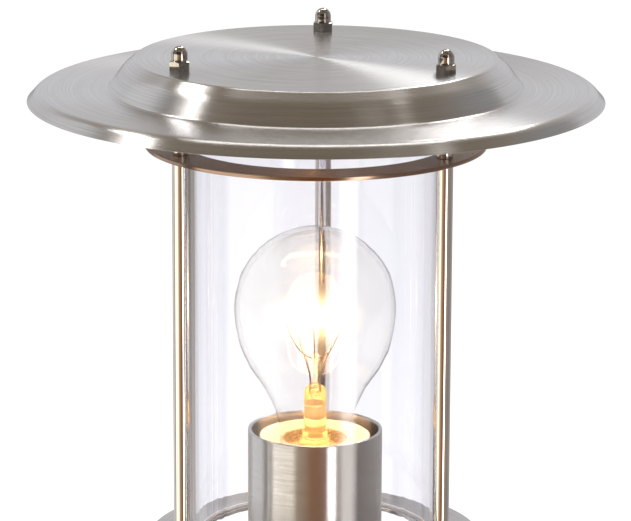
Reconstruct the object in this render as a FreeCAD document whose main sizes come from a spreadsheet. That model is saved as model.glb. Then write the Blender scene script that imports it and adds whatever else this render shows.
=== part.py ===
"""Electric post lantern: a steel column that ends in a lampholder, a clear glass cylinder held
between two flat rings on three tie rods, and a wide spun hat clamped by three cap nuts.

Millimetres, +Z up. The origin is the centre of the base plate's underside.
"""
import FreeCAD, Part
import math
import os
import Sketcher
from FreeCAD import Placement, Rotation, Vector

doc = FreeCAD.newDocument("PostLantern")
FULL_TURN = 360
TOUCHING = 1e-6
HEXAGON_SIDES = 6
ROD_ANGLES = {"rear": 90, "left": 210, "right": 330}
SET_SCREW_ANGLES = (0, 120, 240)
HOLDER_SCREW_ANGLES = (90, 270)
SUPPORT_WIRE_ANGLES = (210, 270, 330)

# ---------------------------------------------------------------- driving sizes
DRIVING_SIZES = {
    # base plate and column
    "base_radius": 70, "base_thickness": 5, "base_bevel": 1.5,
    "anchor_hole_radius": 3.5, "anchor_circle_radius": 56, "anchor_count": 3,
    "cable_hole_radius": 9, "column_radius": 25, "column_wall": 1.5,
    "slip_clearance": 0.05, "collar_wall": 7, "base_collar_height": 14, "collar_bevel": 1,
    "grub_radius": 2.5, "grub_length": 6.5, "grub_socket_radius": 1.25, "grub_socket_depth": 3,
    # cable entry and terminals inside the column's foot
    "grommet_bore_radius": 4.2, "grommet_lip": 2.5, "grommet_lip_height": 2,
    "terminal_length": 26, "terminal_width": 14, "terminal_height": 16, "terminal_lift": 45,
    "terminal_way_radius": 2.2, "terminal_screw_radius": 1.6, "terminal_screw_sink": 3,
    "terminal_pitch": 8, "terminal_ways": 3, "bracket_sheet": 1.5, "bracket_strip_width": 12,
    "bracket_foot_length": 6, "terminal_setback": 1.5,
    "earth_offset": 17, "earth_screw_radius": 2, "earth_head_radius": 3.5, "earth_head_height": 2.6,
    "earth_screw_setback": 1, "grommet_lift": 0.3,
    # lantern frame
    "lower_ring_top": 250, "carrier_drop": 30, "carrier_thickness": 2, "carrier_collar_height": 14,
    "carrier_screw_radius": 2, "carrier_screw_head": 3.4, "carrier_screw_length": 9,
    "ring_thickness": 1.5, "lower_ring_radius": 62, "upper_ring_radius": 62.5,
    "lower_ring_overhang": 0.8, "upper_ring_clearance": 1.2, "ring_edge_radius": 0.3, "ring_rise": 151,
    "post_circle_radius": 54.8, "post_radius": 3, "post_bore_clearance": 0.15,
    "rod_radius": 2, "rod_hole_clearance": 0.25, "rod_tail": 5.5, "rod_top_reach": 5,
    "lock_nut_height": 3.2, "nut_across_flats": 7,
    # glass and its gaskets
    "glass_radius": 47.5, "glass_wall": 3, "glass_edge_radius": 0.8, "glass_headroom": 0.5,
    "seat_gasket_thickness": 0.6, "seat_lip_thickness": 0.5, "seat_lip_height": 1.6,
    "hat_gasket_thickness": 3, "hat_gasket_overhang": 1,
    # spun hat
    "hat_rise": 31, "hat_top_radius": 65.9, "hat_crease_radius": 76, "hat_fold_radius": 101.3,
    "hat_radius": 105.1, "hat_dome_height": 11, "brim_fall": 0.2, "lip_drop": 4.3,
    "hat_sheet": 1, "top_edge_radius": 1.8, "crease_bend_radius": 3.5, "fold_bend_radius": 2.2,
    # cap nuts
    "nut_hex_height": 3.2, "nut_height": 8.5, "dome_radius": 2.95,
    "nut_bore_clearance": 0.06, "nut_bore_room": 0.5, "nut_bevel_inset": 0.12,
    "nut_bevel_drop": 2, "nut_bevel_clear": 1,
    # lampholder
    "sleeve_stand": 42, "holder_sink": 2.2, "holder_radius": 20.75, "holder_rim_radius": 0.9,
    "holder_bore_radius": 14.6, "holder_mouth_radius": 18.9, "holder_mouth_depth": 7,
    "holder_body_height": 33.2, "holder_base_height": 10, "holder_boss_height": 4,
    "holder_boss_clearance": 0.15, "shell_bore_radius": 13.6, "shell_wall": 0.7,
    "shell_height": 20, "holder_screw_radius": 1.5, "holder_screw_head": 2.7,
    "holder_screw_offset": 17.5, "holder_screw_length": 15, "holder_screw_sink": 2,
    "wire_hole_radius": 2.5, "wire_hole_offset": 10.5, "wire_hole_turn": 45,
    "contact_radius": 3.6, "contact_thickness": 0.8, "contact_leaf_length": 10.5,
    "contact_leaf_width": 5, "contact_gap": 0.3, "contact_travel": 1,
    "rivet_offset": 8.3, "rivet_radius": 0.8, "rivet_hole_radius": 1.2, "rivet_head_radius": 1.9,
    "rivet_head_height": 0.5, "rivet_depth": 3,
    "nipple_radius": 5, "nipple_bore": 3.2, "nipple_engagement": 6, "nipple_tail": 1,
    "bracket_drop": 6, "bracket_thickness": 8, "bracket_clearance": 0.2,
    "bracket_screw_radius": 2, "bracket_screw_head": 3.8, "bracket_screw_head_height": 2.2,
    "bracket_screw_length": 9, "nipple_nut_flats": 14, "nipple_nut_height": 3,
    # bulb, upwards from its foot contact
    "bulb_radius": 30, "bulb_flank_radius": 45, "bulb_blend_radius": 50, "bulb_neck_radius": 12.4,
    "neck_level": 19.9, "bulb_wall": 0.9, "neck_run": 0.4, "cap_height": 25, "cap_radius": 13.2,
    "cap_root_radius": 12.3, "cap_wall": 0.4, "thread_pitch": 3.629, "thread_turns": 4,
    "insulator_height": 3.4, "insulator_foot_radius": 6,
    "foot_contact_radius": 4.6, "foot_contact_height": 1.1, "foot_contact_bevel": 1,
    "stem_flare_radius": 11.2, "stem_flare_height": 5, "stem_radius": 4.2, "stem_height": 45,
    "stem_taper": 5, "stem_pinch_radius": 2.4, "button_rod_radius": 1, "button_rise": 9,
    "button_radius": 1.7, "lead_radius": 0.35, "lead_root_offset": 1.8, "support_radius": 0.22,
    "filament_level": 71, "filament_reach": 12.5, "filament_radius": 0.7, "filament_gap": 80,
    "wire_clearance": 0.1,
}
sizes = doc.addObject("Spreadsheet::Sheet", "Size")
for row_number, (alias, value) in enumerate(DRIVING_SIZES.items(), start=1):
    sizes.set("A%d" % row_number, alias)
    sizes.set("B%d" % row_number, str(value))
    sizes.setAlias("B%d" % row_number, alias)
doc.recompute()

# ---------------------------------------------------------------- levels worked out from the sizes
DERIVED_LEVELS = {
    "collar_bore": "=Size.column_radius + Size.slip_clearance",
    "collar_radius": "=Size.column_radius + Size.slip_clearance + Size.collar_wall",
    "column_bore": "=Size.column_radius - Size.column_wall",
    "column_top": "=Size.lower_ring_top + Size.sleeve_stand",
    "carrier_top": "=Size.lower_ring_top - Size.carrier_drop",
    "carrier_bottom": "=Size.lower_ring_top - Size.carrier_drop - Size.carrier_thickness",
    "lower_ring_bottom": "=Size.lower_ring_top - Size.ring_thickness",
    "upper_ring_top": "=Size.lower_ring_top + Size.ring_rise",
    "upper_ring_bottom": "=Size.lower_ring_top + Size.ring_rise - Size.ring_thickness",
    "hat_top": "=Size.lower_ring_top + Size.ring_rise + Size.hat_rise",
    "hat_ceiling": "=hat_top - Size.hat_sheet",
    "glass_bottom": "=Size.lower_ring_top + Size.seat_gasket_thickness",
    "glass_top": "=hat_ceiling - Size.hat_gasket_thickness - Size.glass_headroom",
    "rod_hole": "=Size.rod_radius + Size.rod_hole_clearance",
    "holder_top": "=column_top - Size.holder_sink",
    "holder_body_bottom": "=holder_top - Size.holder_body_height",
    "holder_base_bottom": "=holder_body_bottom - Size.holder_base_height",
    "holder_boss_top": "=holder_body_bottom + Size.holder_boss_height",
    "bracket_top": "=holder_base_bottom - Size.bracket_drop",
    "bracket_bottom": "=bracket_top - Size.bracket_thickness",
    "contact_rest": "=holder_boss_top + Size.contact_travel + Size.contact_thickness",
    "contact_top": "=contact_rest + Size.contact_thickness",
    "bulb_foot": "=contact_top + Size.contact_gap",
    "flank_centre_offset": "=Size.bulb_radius - Size.bulb_flank_radius",
    "blend_centre_offset": "=Size.bulb_neck_radius + Size.bulb_blend_radius",
    "blend_distance": "=Size.bulb_flank_radius + Size.bulb_blend_radius",
    "blend_run": "=blend_centre_offset - flank_centre_offset",
    "blend_drop": "=sqrt(blend_distance * blend_distance - blend_run * blend_run)",
    "bulb_length": "=Size.neck_level + blend_drop + Size.bulb_radius",
    "insulator_top": "=Size.foot_contact_height + Size.insulator_height",
    "skirt_bottom": "=insulator_top + Size.thread_turns * Size.thread_pitch",
    "neck_bottom": "=Size.neck_level - Size.neck_run",
}
levels = doc.addObject("Spreadsheet::Sheet", "Level")
for row_number, (alias, formula) in enumerate(DERIVED_LEVELS.items(), start=1):
    levels.set("A%d" % row_number, alias)
    levels.set("B%d" % row_number, formula)
    levels.setAlias("B%d" % row_number, alias)
    doc.recompute()

subparts = []


# ---------------------------------------------------------------- helpers
def number(expression):
    """Value of an expression over the two sheets."""
    return float(sizes.evalExpression(str(expression)))


def origin_plane(body, role):
    return next(item for item in body.Origin.OriginFeatures if item.Role == role)


def new_body(label, level="0"):
    """Empty body that stands at a level above the base."""
    body = doc.addObject("PartDesign::Body", label)
    body.Label = label
    body.setExpression("Placement.Base.z", str(level))
    subparts.append(body)
    return body


def new_sketch(body, name, role="XZ_Plane", offset="0"):
    """Sketch on one of the body's own origin planes, moved along its normal by an expression."""
    sketch = body.newObject("Sketcher::SketchObject", name)
    sketch.AttachmentSupport = [(origin_plane(body, role), "")]
    sketch.MapMode = "FlatFace"
    if offset != "0":
        sketch.setExpression("AttachmentOffset.Base.z", offset)
    doc.recompute()
    return sketch


def pin_point(sketch, geometry, vertex, across, up):
    """Bind a vertex's two coordinates to expressions."""
    for kind, axis, expression in (("DistanceX", -2, across), ("DistanceY", -1, up)):
        value = number(expression)
        if expression == "0":
            sketch.addConstraint(Sketcher.Constraint("PointOnObject", geometry, vertex, axis))
        else:
            index = sketch.addConstraint(
                Sketcher.Constraint(kind, -1, 1, geometry, vertex, value))
            sketch.setExpression("Constraints[%d]" % index, expression)


def draw_outline(sketch, corners):
    """Closed outline. A corner is (across, up) for a straight edge to the next corner, or
    (across, up, radius, centre across, centre up) for an arc to it."""
    places = [Vector(number(corner[0]), number(corner[1]), 0) for corner in corners]
    count = len(corners)
    for index, corner in enumerate(corners):
        start, end = places[index], places[(index + 1) % count]
        if len(corner) == 2:
            sketch.addGeometry(Part.LineSegment(start, end), False)
        else:
            centre = Vector(number(corner[3]), number(corner[4]), 0)
            circle = Part.Circle(centre, Vector(0, 0, 1), number(corner[2]))
            first, last = circle.parameter(start), circle.parameter(end)
            if (last - first) % (2 * math.pi) > math.pi:
                first, last = last, first
            sketch.addGeometry(Part.ArcOfCircle(circle, first, last), False)
    for index, corner in enumerate(corners):
        arc = sketch.Geometry[index]
        place = places[index]
        starts_here = arc.StartPoint.distanceToPoint(place) < TOUCHING
        following = (index + 1) % count
        follower = sketch.Geometry[following]
        joined_first = follower.StartPoint.distanceToPoint(places[following]) < TOUCHING
        sketch.addConstraint(Sketcher.Constraint(
            "Coincident", index, 2 if starts_here else 1, following, 1 if joined_first else 2))
        pin_point(sketch, index, 1 if starts_here else 2, corner[0], corner[1])
        if len(corner) > 2:
            constraint = sketch.addConstraint(
                Sketcher.Constraint("Radius", index, number(corner[2])))
            sketch.setExpression("Constraints[%d]" % constraint, corner[2])


def draw_circle(sketch, across, up, radius):
    """Circle whose centre and radius are bound to expressions."""
    centre = Vector(number(across), number(up), 0)
    circle = sketch.addGeometry(Part.Circle(centre, Vector(0, 0, 1), number(radius)), False)
    pin_point(sketch, circle, 3, across, up)
    constraint = sketch.addConstraint(Sketcher.Constraint("Radius", circle, number(radius)))
    sketch.setExpression("Constraints[%d]" % constraint, radius)


def draw_hexagon(sketch, flats):
    """Regular hexagon about the sketch's origin, measured across its flats."""
    half_side = 180 // HEXAGON_SIDES
    corner_radius = "%s / (2 * cos(%d deg))" % (flats, half_side)
    corners = []
    for step in range(HEXAGON_SIDES):
        corner_angle = (2 * step + 1) * half_side
        corners.append(("%s * cos(%d deg)" % (corner_radius, corner_angle),
                        "%s * sin(%d deg)" % (corner_radius, corner_angle)))
    draw_outline(sketch, corners)


def turn(body, name, corners, kind="PartDesign::Revolution"):
    """Revolution or groove of an outline about the body's own Z axis."""
    sketch = new_sketch(body, name + "_outline")
    draw_outline(sketch, corners)
    feature = body.newObject(kind, name)
    feature.Profile = sketch
    feature.ReferenceAxis = (sketch, ["V_Axis"])
    feature.Angle = FULL_TURN
    sketch.Visibility = False
    doc.recompute()
    return feature


def drill(body, name, across, up, radius, depth, count=1, start="0"):
    """Round holes upwards from a height inside the body, repeated about its axis."""
    volume = body.Shape.Volume
    sketch = new_sketch(body, name + "_circle", "XY_Plane", start)
    draw_circle(sketch, across, up, radius)
    pocket = body.newObject("PartDesign::Pocket", name)
    pocket.Profile = sketch
    pocket.Reversed = True
    pocket.setExpression("Length", depth)
    doc.recompute()
    if count > 1:
        pattern = body.newObject("PartDesign::PolarPattern", name + "_round")
        pattern.Originals = [pocket]
        pattern.Axis = (sketch, ["N_Axis"])
        pattern.Angle = FULL_TURN
        pattern.Occurrences = count
        body.Tip = pattern
        doc.recompute()
    if body.Shape.Volume >= volume:
        raise RuntimeError("%s cuts nothing from %s" % (name, body.Label))


def cross_drill(body, name, height, radius, start, reach):
    """Three level round holes outwards from inside a round body, spread about its axis."""
    volume = body.Shape.Volume
    sketch = new_sketch(body, name + "_circle", "YZ_Plane", start)
    draw_circle(sketch, "0", height, radius)
    hole = body.newObject("PartDesign::Pocket", name)
    hole.Profile = sketch
    hole.Reversed = True
    hole.setExpression("Length", reach)
    doc.recompute()
    pattern = body.newObject("PartDesign::PolarPattern", name + "_round")
    pattern.Originals = [hole]
    pattern.Axis = (origin_plane(body, "Z_Axis"), [""])
    pattern.Angle = FULL_TURN
    pattern.Occurrences = len(ROD_ANGLES)
    body.Tip = pattern
    doc.recompute()
    if body.Shape.Volume >= volume:
        raise RuntimeError("%s cuts nothing from %s" % (name, body.Label))


def round_rims(body, name, radius, chosen):
    """Fillet the circular edges that the chosen test accepts, given radius and height."""
    base = body.Tip
    edges = []
    for index, edge in enumerate(base.Shape.Edges, start=1):
        if isinstance(edge.Curve, Part.Circle) and edge.isClosed():
            if chosen(edge.Curve.Radius, edge.Curve.Center):
                edges.append("Edge%d" % index)
    fillet = body.newObject("PartDesign::Fillet", name)
    fillet.Base = (base, edges)
    fillet.setExpression("Radius", radius)
    doc.recompute()
    return fillet


def cylinder(name, radius, height, level="0"):
    item = doc.addObject("Part::Cylinder", name)
    item.setExpression("Radius", radius)
    item.setExpression("Height", height)
    item.setExpression("Placement.Base.z", level)
    return item


def hexagon_bar(name, flats, height, level="0"):
    item = doc.addObject("Part::Prism", name)
    item.Polygon = HEXAGON_SIDES
    item.setExpression("Circumradius", "%s / (2 * cos(%d deg))" % (flats, 180 // HEXAGON_SIDES))
    item.setExpression("Height", height)
    item.setExpression("Placement.Base.z", level)
    return item


def difference(name, base, tool):
    item = doc.addObject("Part::Cut", name)
    item.Base, item.Tool = base, tool
    return item


def union(name, shapes):
    item = doc.addObject("Part::MultiFuse", name)
    item.Shapes = shapes
    return item


def group(label, members):
    """Separate solids that share one node."""
    item = doc.addObject("Part::Compound", label)
    item.Label = label
    item.Links = members
    subparts.append(item)
    return item


def stand_at(item, angle, radius, level="0"):
    """Place an item on a circle about the lantern's axis, turned to face outwards."""
    item.Placement = Placement(Vector(0, 0, 0), Rotation(Vector(0, 0, 1), angle))
    item.setExpression("Placement.Base.x", "%s * cos(%d deg)" % (radius, angle))
    item.setExpression("Placement.Base.y", "%s * sin(%d deg)" % (radius, angle))
    item.setExpression("Placement.Base.z", level)
    return item


def lay_at(item, angle, radius, level):
    """Place an item on a circle with its own Z axis pointing outwards."""
    outwards = Rotation(Vector(0, 0, 1), angle) * Rotation(Vector(0, 1, 0), 90)
    item.Placement = Placement(Vector(0, 0, 0), outwards)
    item.setExpression("Placement.Base.x", "(%s) * cos(%d deg)" % (radius, angle))
    item.setExpression("Placement.Base.y", "(%s) * sin(%d deg)" % (radius, angle))
    item.setExpression("Placement.Base.z", level)
    return item


def straight_wire(name, radius, start, end):
    """Round wire between two points, each given as three expressions."""
    item = doc.addObject("Part::Cylinder", name)
    item.setExpression("Radius", radius)
    run_x, run_y, run_z = ["((%s) - (%s))" % (last, first) for first, last in zip(start, end)]
    length = "sqrt(%s^2 + %s^2 + %s^2)" % (run_x, run_y, run_z)
    item.setExpression("Height", length)
    item.setExpression(
        "Placement",
        "placement(vector(%s; %s; %s);" % start
        + " rotation(vector(0; 0; 1); atan2(%s; %s))" % (run_y, run_x)
        + " * rotation(vector(0; 1; 0); acos(%s / %s)))" % (run_z, length))
    return item


# ---------------------------------------------------------------- base and column
def make_base_plate():
    body = new_body("base_plate")
    radius, bevel, thick = "Size.base_radius", "Size.base_bevel", "Size.base_thickness"
    turn(body, "base_disc", [
        ("Size.cable_hole_radius", "0"), (radius, "0"),
        (radius, "%s - %s" % (thick, bevel)), ("%s - %s" % (radius, bevel), thick),
        ("Size.cable_hole_radius", thick)])
    drill(body, "anchor_hole", "0", "Size.anchor_circle_radius", "Size.anchor_hole_radius",
          "Size.base_thickness", int(number("Size.anchor_count")))
    drill(body, "earth_hole", "-Size.earth_offset", "0", "Size.earth_screw_radius",
          "Size.base_thickness")


def make_column():
    """Plain tube from the base plate to the lampholder, with cross holes for the bracket screws."""
    outer = cylinder("column_outer", "Size.column_radius",
                     "Level.column_top - Size.base_thickness", "Size.base_thickness")
    bore = cylinder("column_bore", "Level.column_bore",
                    "Level.column_top - Size.base_thickness", "Size.base_thickness")
    holes = [bore]
    for index, angle in enumerate(SET_SCREW_ANGLES, start=1):
        hole = cylinder("column_hole_%d" % index,
                        "Size.bracket_screw_radius + Size.slip_clearance", "2 * Size.column_wall")
        lay_at(hole, angle, "Level.column_bore - Size.column_wall / 2",
               "(Level.bracket_top + Level.bracket_bottom) / 2")
        holes.append(hole)
    column = difference("column", outer, union("column_cuts", holes))
    column.Label = "column"
    subparts.append(column)


def make_collar(label, level, height):
    """Clamping collar round the column with three threaded cross holes."""
    body = new_body(label, level)
    bore, radius, bevel = "Level.collar_bore", "Level.collar_radius", "Size.collar_bevel"
    turn(body, label + "_ring", [
        (bore, "0"), (radius, "0"), (radius, "%s - %s" % (height, bevel)),
        ("%s - %s" % (radius, bevel), height), (bore, height)])
    cross_drill(body, label + "_cross_hole", "%s / 2" % height,
                "Size.grub_radius + Size.slip_clearance", "Size.column_radius / 2",
                "2 * Size.column_radius")
    return body


def make_grub_screws(label, level):
    """Socket set screws, one in each cross hole of a collar, pressing on the column."""
    screws = []
    for index, angle in enumerate(SET_SCREW_ANGLES, start=1):
        name = "%s_%d" % (label, index)
        shank = cylinder(name + "_shank", "Size.grub_radius", "Size.grub_length")
        socket = hexagon_bar(name + "_socket", "2 * Size.grub_socket_radius",
                             "Size.grub_socket_depth", "Size.grub_length - Size.grub_socket_depth")
        screw = difference(name, shank, socket)
        lay_at(screw, angle, "Size.column_radius + 2 * Size.slip_clearance", level)
        screws.append(screw)
    group(label, screws)


def make_cable_grommet():
    """Rubber grommet in the base plate's cable hole, just above the plate's underside."""
    body = new_body("cable_grommet")
    neck = "Size.cable_hole_radius - Size.slip_clearance"
    lip = "Size.cable_hole_radius + Size.grommet_lip"
    top = "Size.base_thickness + Size.grommet_lip_height"
    seat = "Size.base_thickness + Size.slip_clearance"
    foot = "Size.grommet_lift"
    turn(body, "grommet", [("Size.grommet_bore_radius", foot), (neck, foot), (neck, seat),
                           (lip, seat), (lip, top), ("Size.grommet_bore_radius", top)])


def make_terminals():
    """Cable connector on an angle bracket above the base plate, with its clamp screws."""
    back = "(Size.cable_hole_radius + Size.grommet_lip + Size.terminal_setback)"
    strip = new_body("terminal_bracket")
    half_strip = "Size.bracket_strip_width / 2"
    sketch = new_sketch(strip, "strip_section", "YZ_Plane", "-" + half_strip)
    top = "Size.terminal_lift + Size.terminal_height"
    foot_top = "Size.base_thickness + Size.bracket_sheet"
    draw_outline(sketch, [(back, "Size.base_thickness"),
                          (back + " + Size.bracket_foot_length", "Size.base_thickness"),
                          (back + " + Size.bracket_foot_length", foot_top),
                          (back + " + Size.bracket_sheet", foot_top),
                          (back + " + Size.bracket_sheet", top), (back, top)])
    pad = strip.newObject("PartDesign::Pad", "strip")
    pad.Profile = sketch
    pad.setExpression("Length", "Size.bracket_strip_width")
    block = new_body("terminal_block", "Size.terminal_lift")
    half_length = "Size.terminal_length / 2"
    front = back + " - Size.terminal_width"
    sketch = new_sketch(block, "terminal_plan", "XY_Plane")
    draw_outline(sketch, [("-" + half_length, front), (half_length, front), (half_length, back),
                          ("-" + half_length, back)])
    pad = block.newObject("PartDesign::Pad", "terminal_solid")
    pad.Profile = sketch
    pad.setExpression("Length", "Size.terminal_height")
    doc.recompute()
    ways = int(number("Size.terminal_ways"))
    screws = []
    for way in range(ways):
        offset = "(%d - (Size.terminal_ways - 1) / 2) * Size.terminal_pitch" % way
        drill(block, "wire_way_%d" % (way + 1), offset, back + " - Size.terminal_width / 2",
              "Size.terminal_way_radius", "Size.terminal_height")
        screw = cylinder("terminal_screw_%d" % (way + 1), "Size.terminal_screw_radius",
                         "Size.terminal_screw_sink")
        screw.Placement = Placement(Vector(0, 0, 0), Rotation(Vector(1, 0, 0), 90))
        screw.setExpression("Placement.Base.x", offset)
        screw.setExpression("Placement.Base.y", front)
        screw.setExpression("Placement.Base.z", "Size.terminal_lift + Size.terminal_height / 2")
        screws.append(screw)
    group("terminal_screws", screws)


def make_earth_screw():
    body = new_body("earth_screw", "Size.base_thickness")
    head, radius = "Size.earth_head_radius", "Size.earth_screw_radius - Size.slip_clearance"
    tip = "-(Size.base_thickness - Size.earth_screw_setback)"
    turn(body, "earth_turned", [("0", tip), (radius, tip), (radius, "0"), (head, "0"),
                                (head, "Size.earth_head_height"), ("0", "Size.earth_head_height")])
    body.setExpression("Placement.Base.x", "-Size.earth_offset")


# ---------------------------------------------------------------- lantern frame
def make_flat_ring(label, level, outer, inner, thickness):
    """Flat annular plate with three rod holes and eased edges."""
    body = new_body(label, level)
    turn(body, label + "_plate", [(inner, "0"), (outer, "0"), (outer, thickness),
                                  (inner, thickness)])
    drill(body, label + "_rod_hole", "0", "Size.post_circle_radius", "Level.rod_hole", thickness,
          len(ROD_ANGLES))
    outer_radius = number(outer)
    round_rims(body, label + "_eased", "Size.ring_edge_radius",
               lambda radius, centre: abs(radius - outer_radius) < TOUCHING)


def make_carrier():
    """Carrier plate under the lower ring, screwed down on a collar clamped to the column."""
    body = new_body("carrier_plate", "Level.carrier_bottom")
    thick = "Size.carrier_thickness"
    turn(body, "carrier_disc", [("Level.collar_bore", "0"), ("Size.lower_ring_radius", "0"),
                                ("Size.lower_ring_radius", thick), ("Level.collar_bore", thick)])
    drill(body, "carrier_rod_hole", "0", "Size.post_circle_radius", "Level.rod_hole", thick,
          len(ROD_ANGLES))
    screw_circle = "Level.collar_bore + Size.collar_wall / 2"
    drill(body, "carrier_screw_hole", "0", screw_circle,
          "Size.carrier_screw_radius + Size.slip_clearance", thick, len(ROD_ANGLES))


def make_spacers(label, prefix, bottom, top):
    """Three spacer tubes over the tie rods between two levels."""
    tubes = []
    for name, angle in ROD_ANGLES.items():
        outer = cylinder("%s_%s_outer" % (prefix, name), "Size.post_radius",
                         "%s - %s" % (top, bottom))
        bore = cylinder("%s_%s_bore" % (prefix, name), "Size.rod_radius + Size.post_bore_clearance",
                        "%s - %s" % (top, bottom))
        tube = difference("%s_%s" % (prefix, name), outer, bore)
        stand_at(tube, angle, "Size.post_circle_radius", bottom)
        tubes.append(tube)
        if label is None:
            tube.Label = "%s_%s" % (prefix, name)
            subparts.append(tube)
    if label is not None:
        group(label, tubes)


def make_tie_rods():
    """Threaded rods from below the carrier plate up into the cap nuts, and their lock nuts."""
    nuts = []
    for name, angle in ROD_ANGLES.items():
        rod = cylinder("tie_rod_" + name, "Size.rod_radius",
                       "Level.hat_top + Size.rod_top_reach - Level.carrier_bottom + Size.rod_tail")
        rod.Label = "tie_rod_" + name
        stand_at(rod, angle, "Size.post_circle_radius", "Level.carrier_bottom - Size.rod_tail")
        subparts.append(rod)
        blank = hexagon_bar("lock_nut_%s_blank" % name, "Size.nut_across_flats",
                            "Size.lock_nut_height")
        bore = cylinder("lock_nut_%s_bore" % name, "Size.rod_radius + Size.slip_clearance",
                        "Size.lock_nut_height")
        nut = difference("lock_nut_" + name, blank, bore)
        stand_at(nut, angle, "Size.post_circle_radius",
                 "Level.carrier_bottom - Size.lock_nut_height")
        nuts.append(nut)
    group("lock_nuts", nuts)


def make_carrier_screws():
    screws = []
    for index, angle in enumerate(ROD_ANGLES.values(), start=1):
        head = cylinder("carrier_screw_%d_head" % index, "Size.carrier_screw_head",
                        "Size.carrier_thickness")
        shank = cylinder("carrier_screw_%d_shank" % index, "Size.carrier_screw_radius",
                         "Size.carrier_screw_length")
        shank.setExpression("Placement.Base.z", "-Size.carrier_screw_length")
        screw = union("carrier_screw_%d" % index, [head, shank])
        stand_at(screw, angle, "(Level.collar_bore + Size.collar_wall / 2)", "Level.carrier_top")
        screws.append(screw)
    group("carrier_screws", screws)


# ---------------------------------------------------------------- glass and hat
def make_glass():
    body = new_body("glass_cylinder", "Level.glass_bottom")
    outer, inner = "Size.glass_radius", "Size.glass_radius - Size.glass_wall"
    height = "Level.glass_top - Level.glass_bottom"
    turn(body, "glass_tube", [(inner, "0"), (outer, "0"), (outer, height), (inner, height)])
    round_rims(body, "glass_rims", "Size.glass_edge_radius", lambda radius, centre: True)


def make_gaskets():
    seat = new_body("glass_seat_gasket", "Size.lower_ring_top")
    lip = "Size.glass_radius - Size.glass_wall - Size.slip_clearance"
    turn(seat, "seat_section", [
        ("%s - Size.seat_lip_thickness" % lip, "0"), ("Size.glass_radius", "0"),
        ("Size.glass_radius", "Size.seat_gasket_thickness"), (lip, "Size.seat_gasket_thickness"),
        (lip, "Size.seat_lip_height"), ("%s - Size.seat_lip_thickness" % lip,
                                        "Size.seat_lip_height")])
    top = new_body("hat_gasket", "Level.hat_ceiling - Size.hat_gasket_thickness")
    inner = "Size.glass_radius - Size.glass_wall - Size.hat_gasket_overhang"
    outer = "Size.glass_radius + Size.hat_gasket_overhang"
    turn(top, "hat_gasket_section", [(inner, "0"), (outer, "0"),
                                     (outer, "Size.hat_gasket_thickness"),
                                     (inner, "Size.hat_gasket_thickness")])


def make_hat():
    """Spun sheet hat: flat top, conical flank, near-flat brim and a lip turned down."""
    body = new_body("hat", "Level.hat_top - Size.hat_dome_height - Size.brim_fall - Size.lip_drop")
    fold = "Size.lip_drop"
    crease = "Size.lip_drop + Size.brim_fall"
    top = "Size.lip_drop + Size.brim_fall + Size.hat_dome_height"
    turn(body, "hat_solid", [("0", "0"), ("Size.hat_radius", "0"), ("Size.hat_fold_radius", fold),
                             ("Size.hat_crease_radius", crease), ("Size.hat_top_radius", top),
                             ("0", top)])
    bends = (("hat_top_edge", "Size.top_edge_radius", "Size.hat_top_radius"),
             ("hat_crease", "Size.crease_bend_radius", "Size.hat_crease_radius"),
             ("hat_fold", "Size.fold_bend_radius", "Size.hat_fold_radius"))
    for name, bend, edge in bends:
        edge_radius = number(edge)
        round_rims(body, name, bend, lambda radius, centre: abs(radius - edge_radius) < TOUCHING)
    base = body.Tip
    floor = next("Face%d" % index for index, face in enumerate(base.Shape.Faces, start=1)
                 if face.CenterOfMass.z - base.Shape.BoundBox.ZMin < TOUCHING)
    shell = body.newObject("PartDesign::Thickness", "hat_shell")
    shell.Base = (base, [floor])
    shell.setExpression("Value", "Size.hat_sheet")
    shell.Reversed = True
    shell.Mode = 0
    shell.Join = 0
    doc.recompute()
    drill(body, "hat_rod_hole", "0", "Size.post_circle_radius", "Level.rod_hole", top,
          len(ROD_ANGLES))


def make_cap_nut(name, angle):
    """Acorn nut: a hexagon with a domed cap and a blind bore over the rod's end."""
    body = new_body("cap_nut_" + name)
    stand_at(body, angle, "Size.post_circle_radius", "Level.hat_top")
    sketch = new_sketch(body, "hexagon_" + name, "XY_Plane")
    draw_hexagon(sketch, "Size.nut_across_flats")
    pad = body.newObject("PartDesign::Pad", "hexagon_solid_" + name)
    pad.Profile = sketch
    pad.setExpression("Length", "Size.nut_hex_height")
    doc.recompute()
    inset = "Size.nut_across_flats / 2 - Size.nut_bevel_inset"
    top = "Size.nut_hex_height"
    turn(body, "hexagon_bevel_" + name, [
        (inset, top), ("Size.nut_across_flats", top + " - Size.nut_bevel_drop"),
        ("Size.nut_across_flats", top + " + Size.nut_bevel_clear"),
        (inset, top + " + Size.nut_bevel_clear")], "PartDesign::Groove")
    dome = "Size.dome_radius"
    shoulder = "Size.nut_height - Size.dome_radius"
    turn(body, "dome_" + name, [("0", "0"), (dome, "0"), (dome, shoulder, dome, "0", shoulder),
                                ("0", "Size.nut_height")])
    bore = "Size.rod_radius + Size.nut_bore_clearance"
    depth = "Size.rod_top_reach + Size.nut_bore_room"
    turn(body, "bore_" + name, [("0", "0"), (bore, "0"), (bore, depth), ("0", depth)],
         "PartDesign::Groove")


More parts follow.
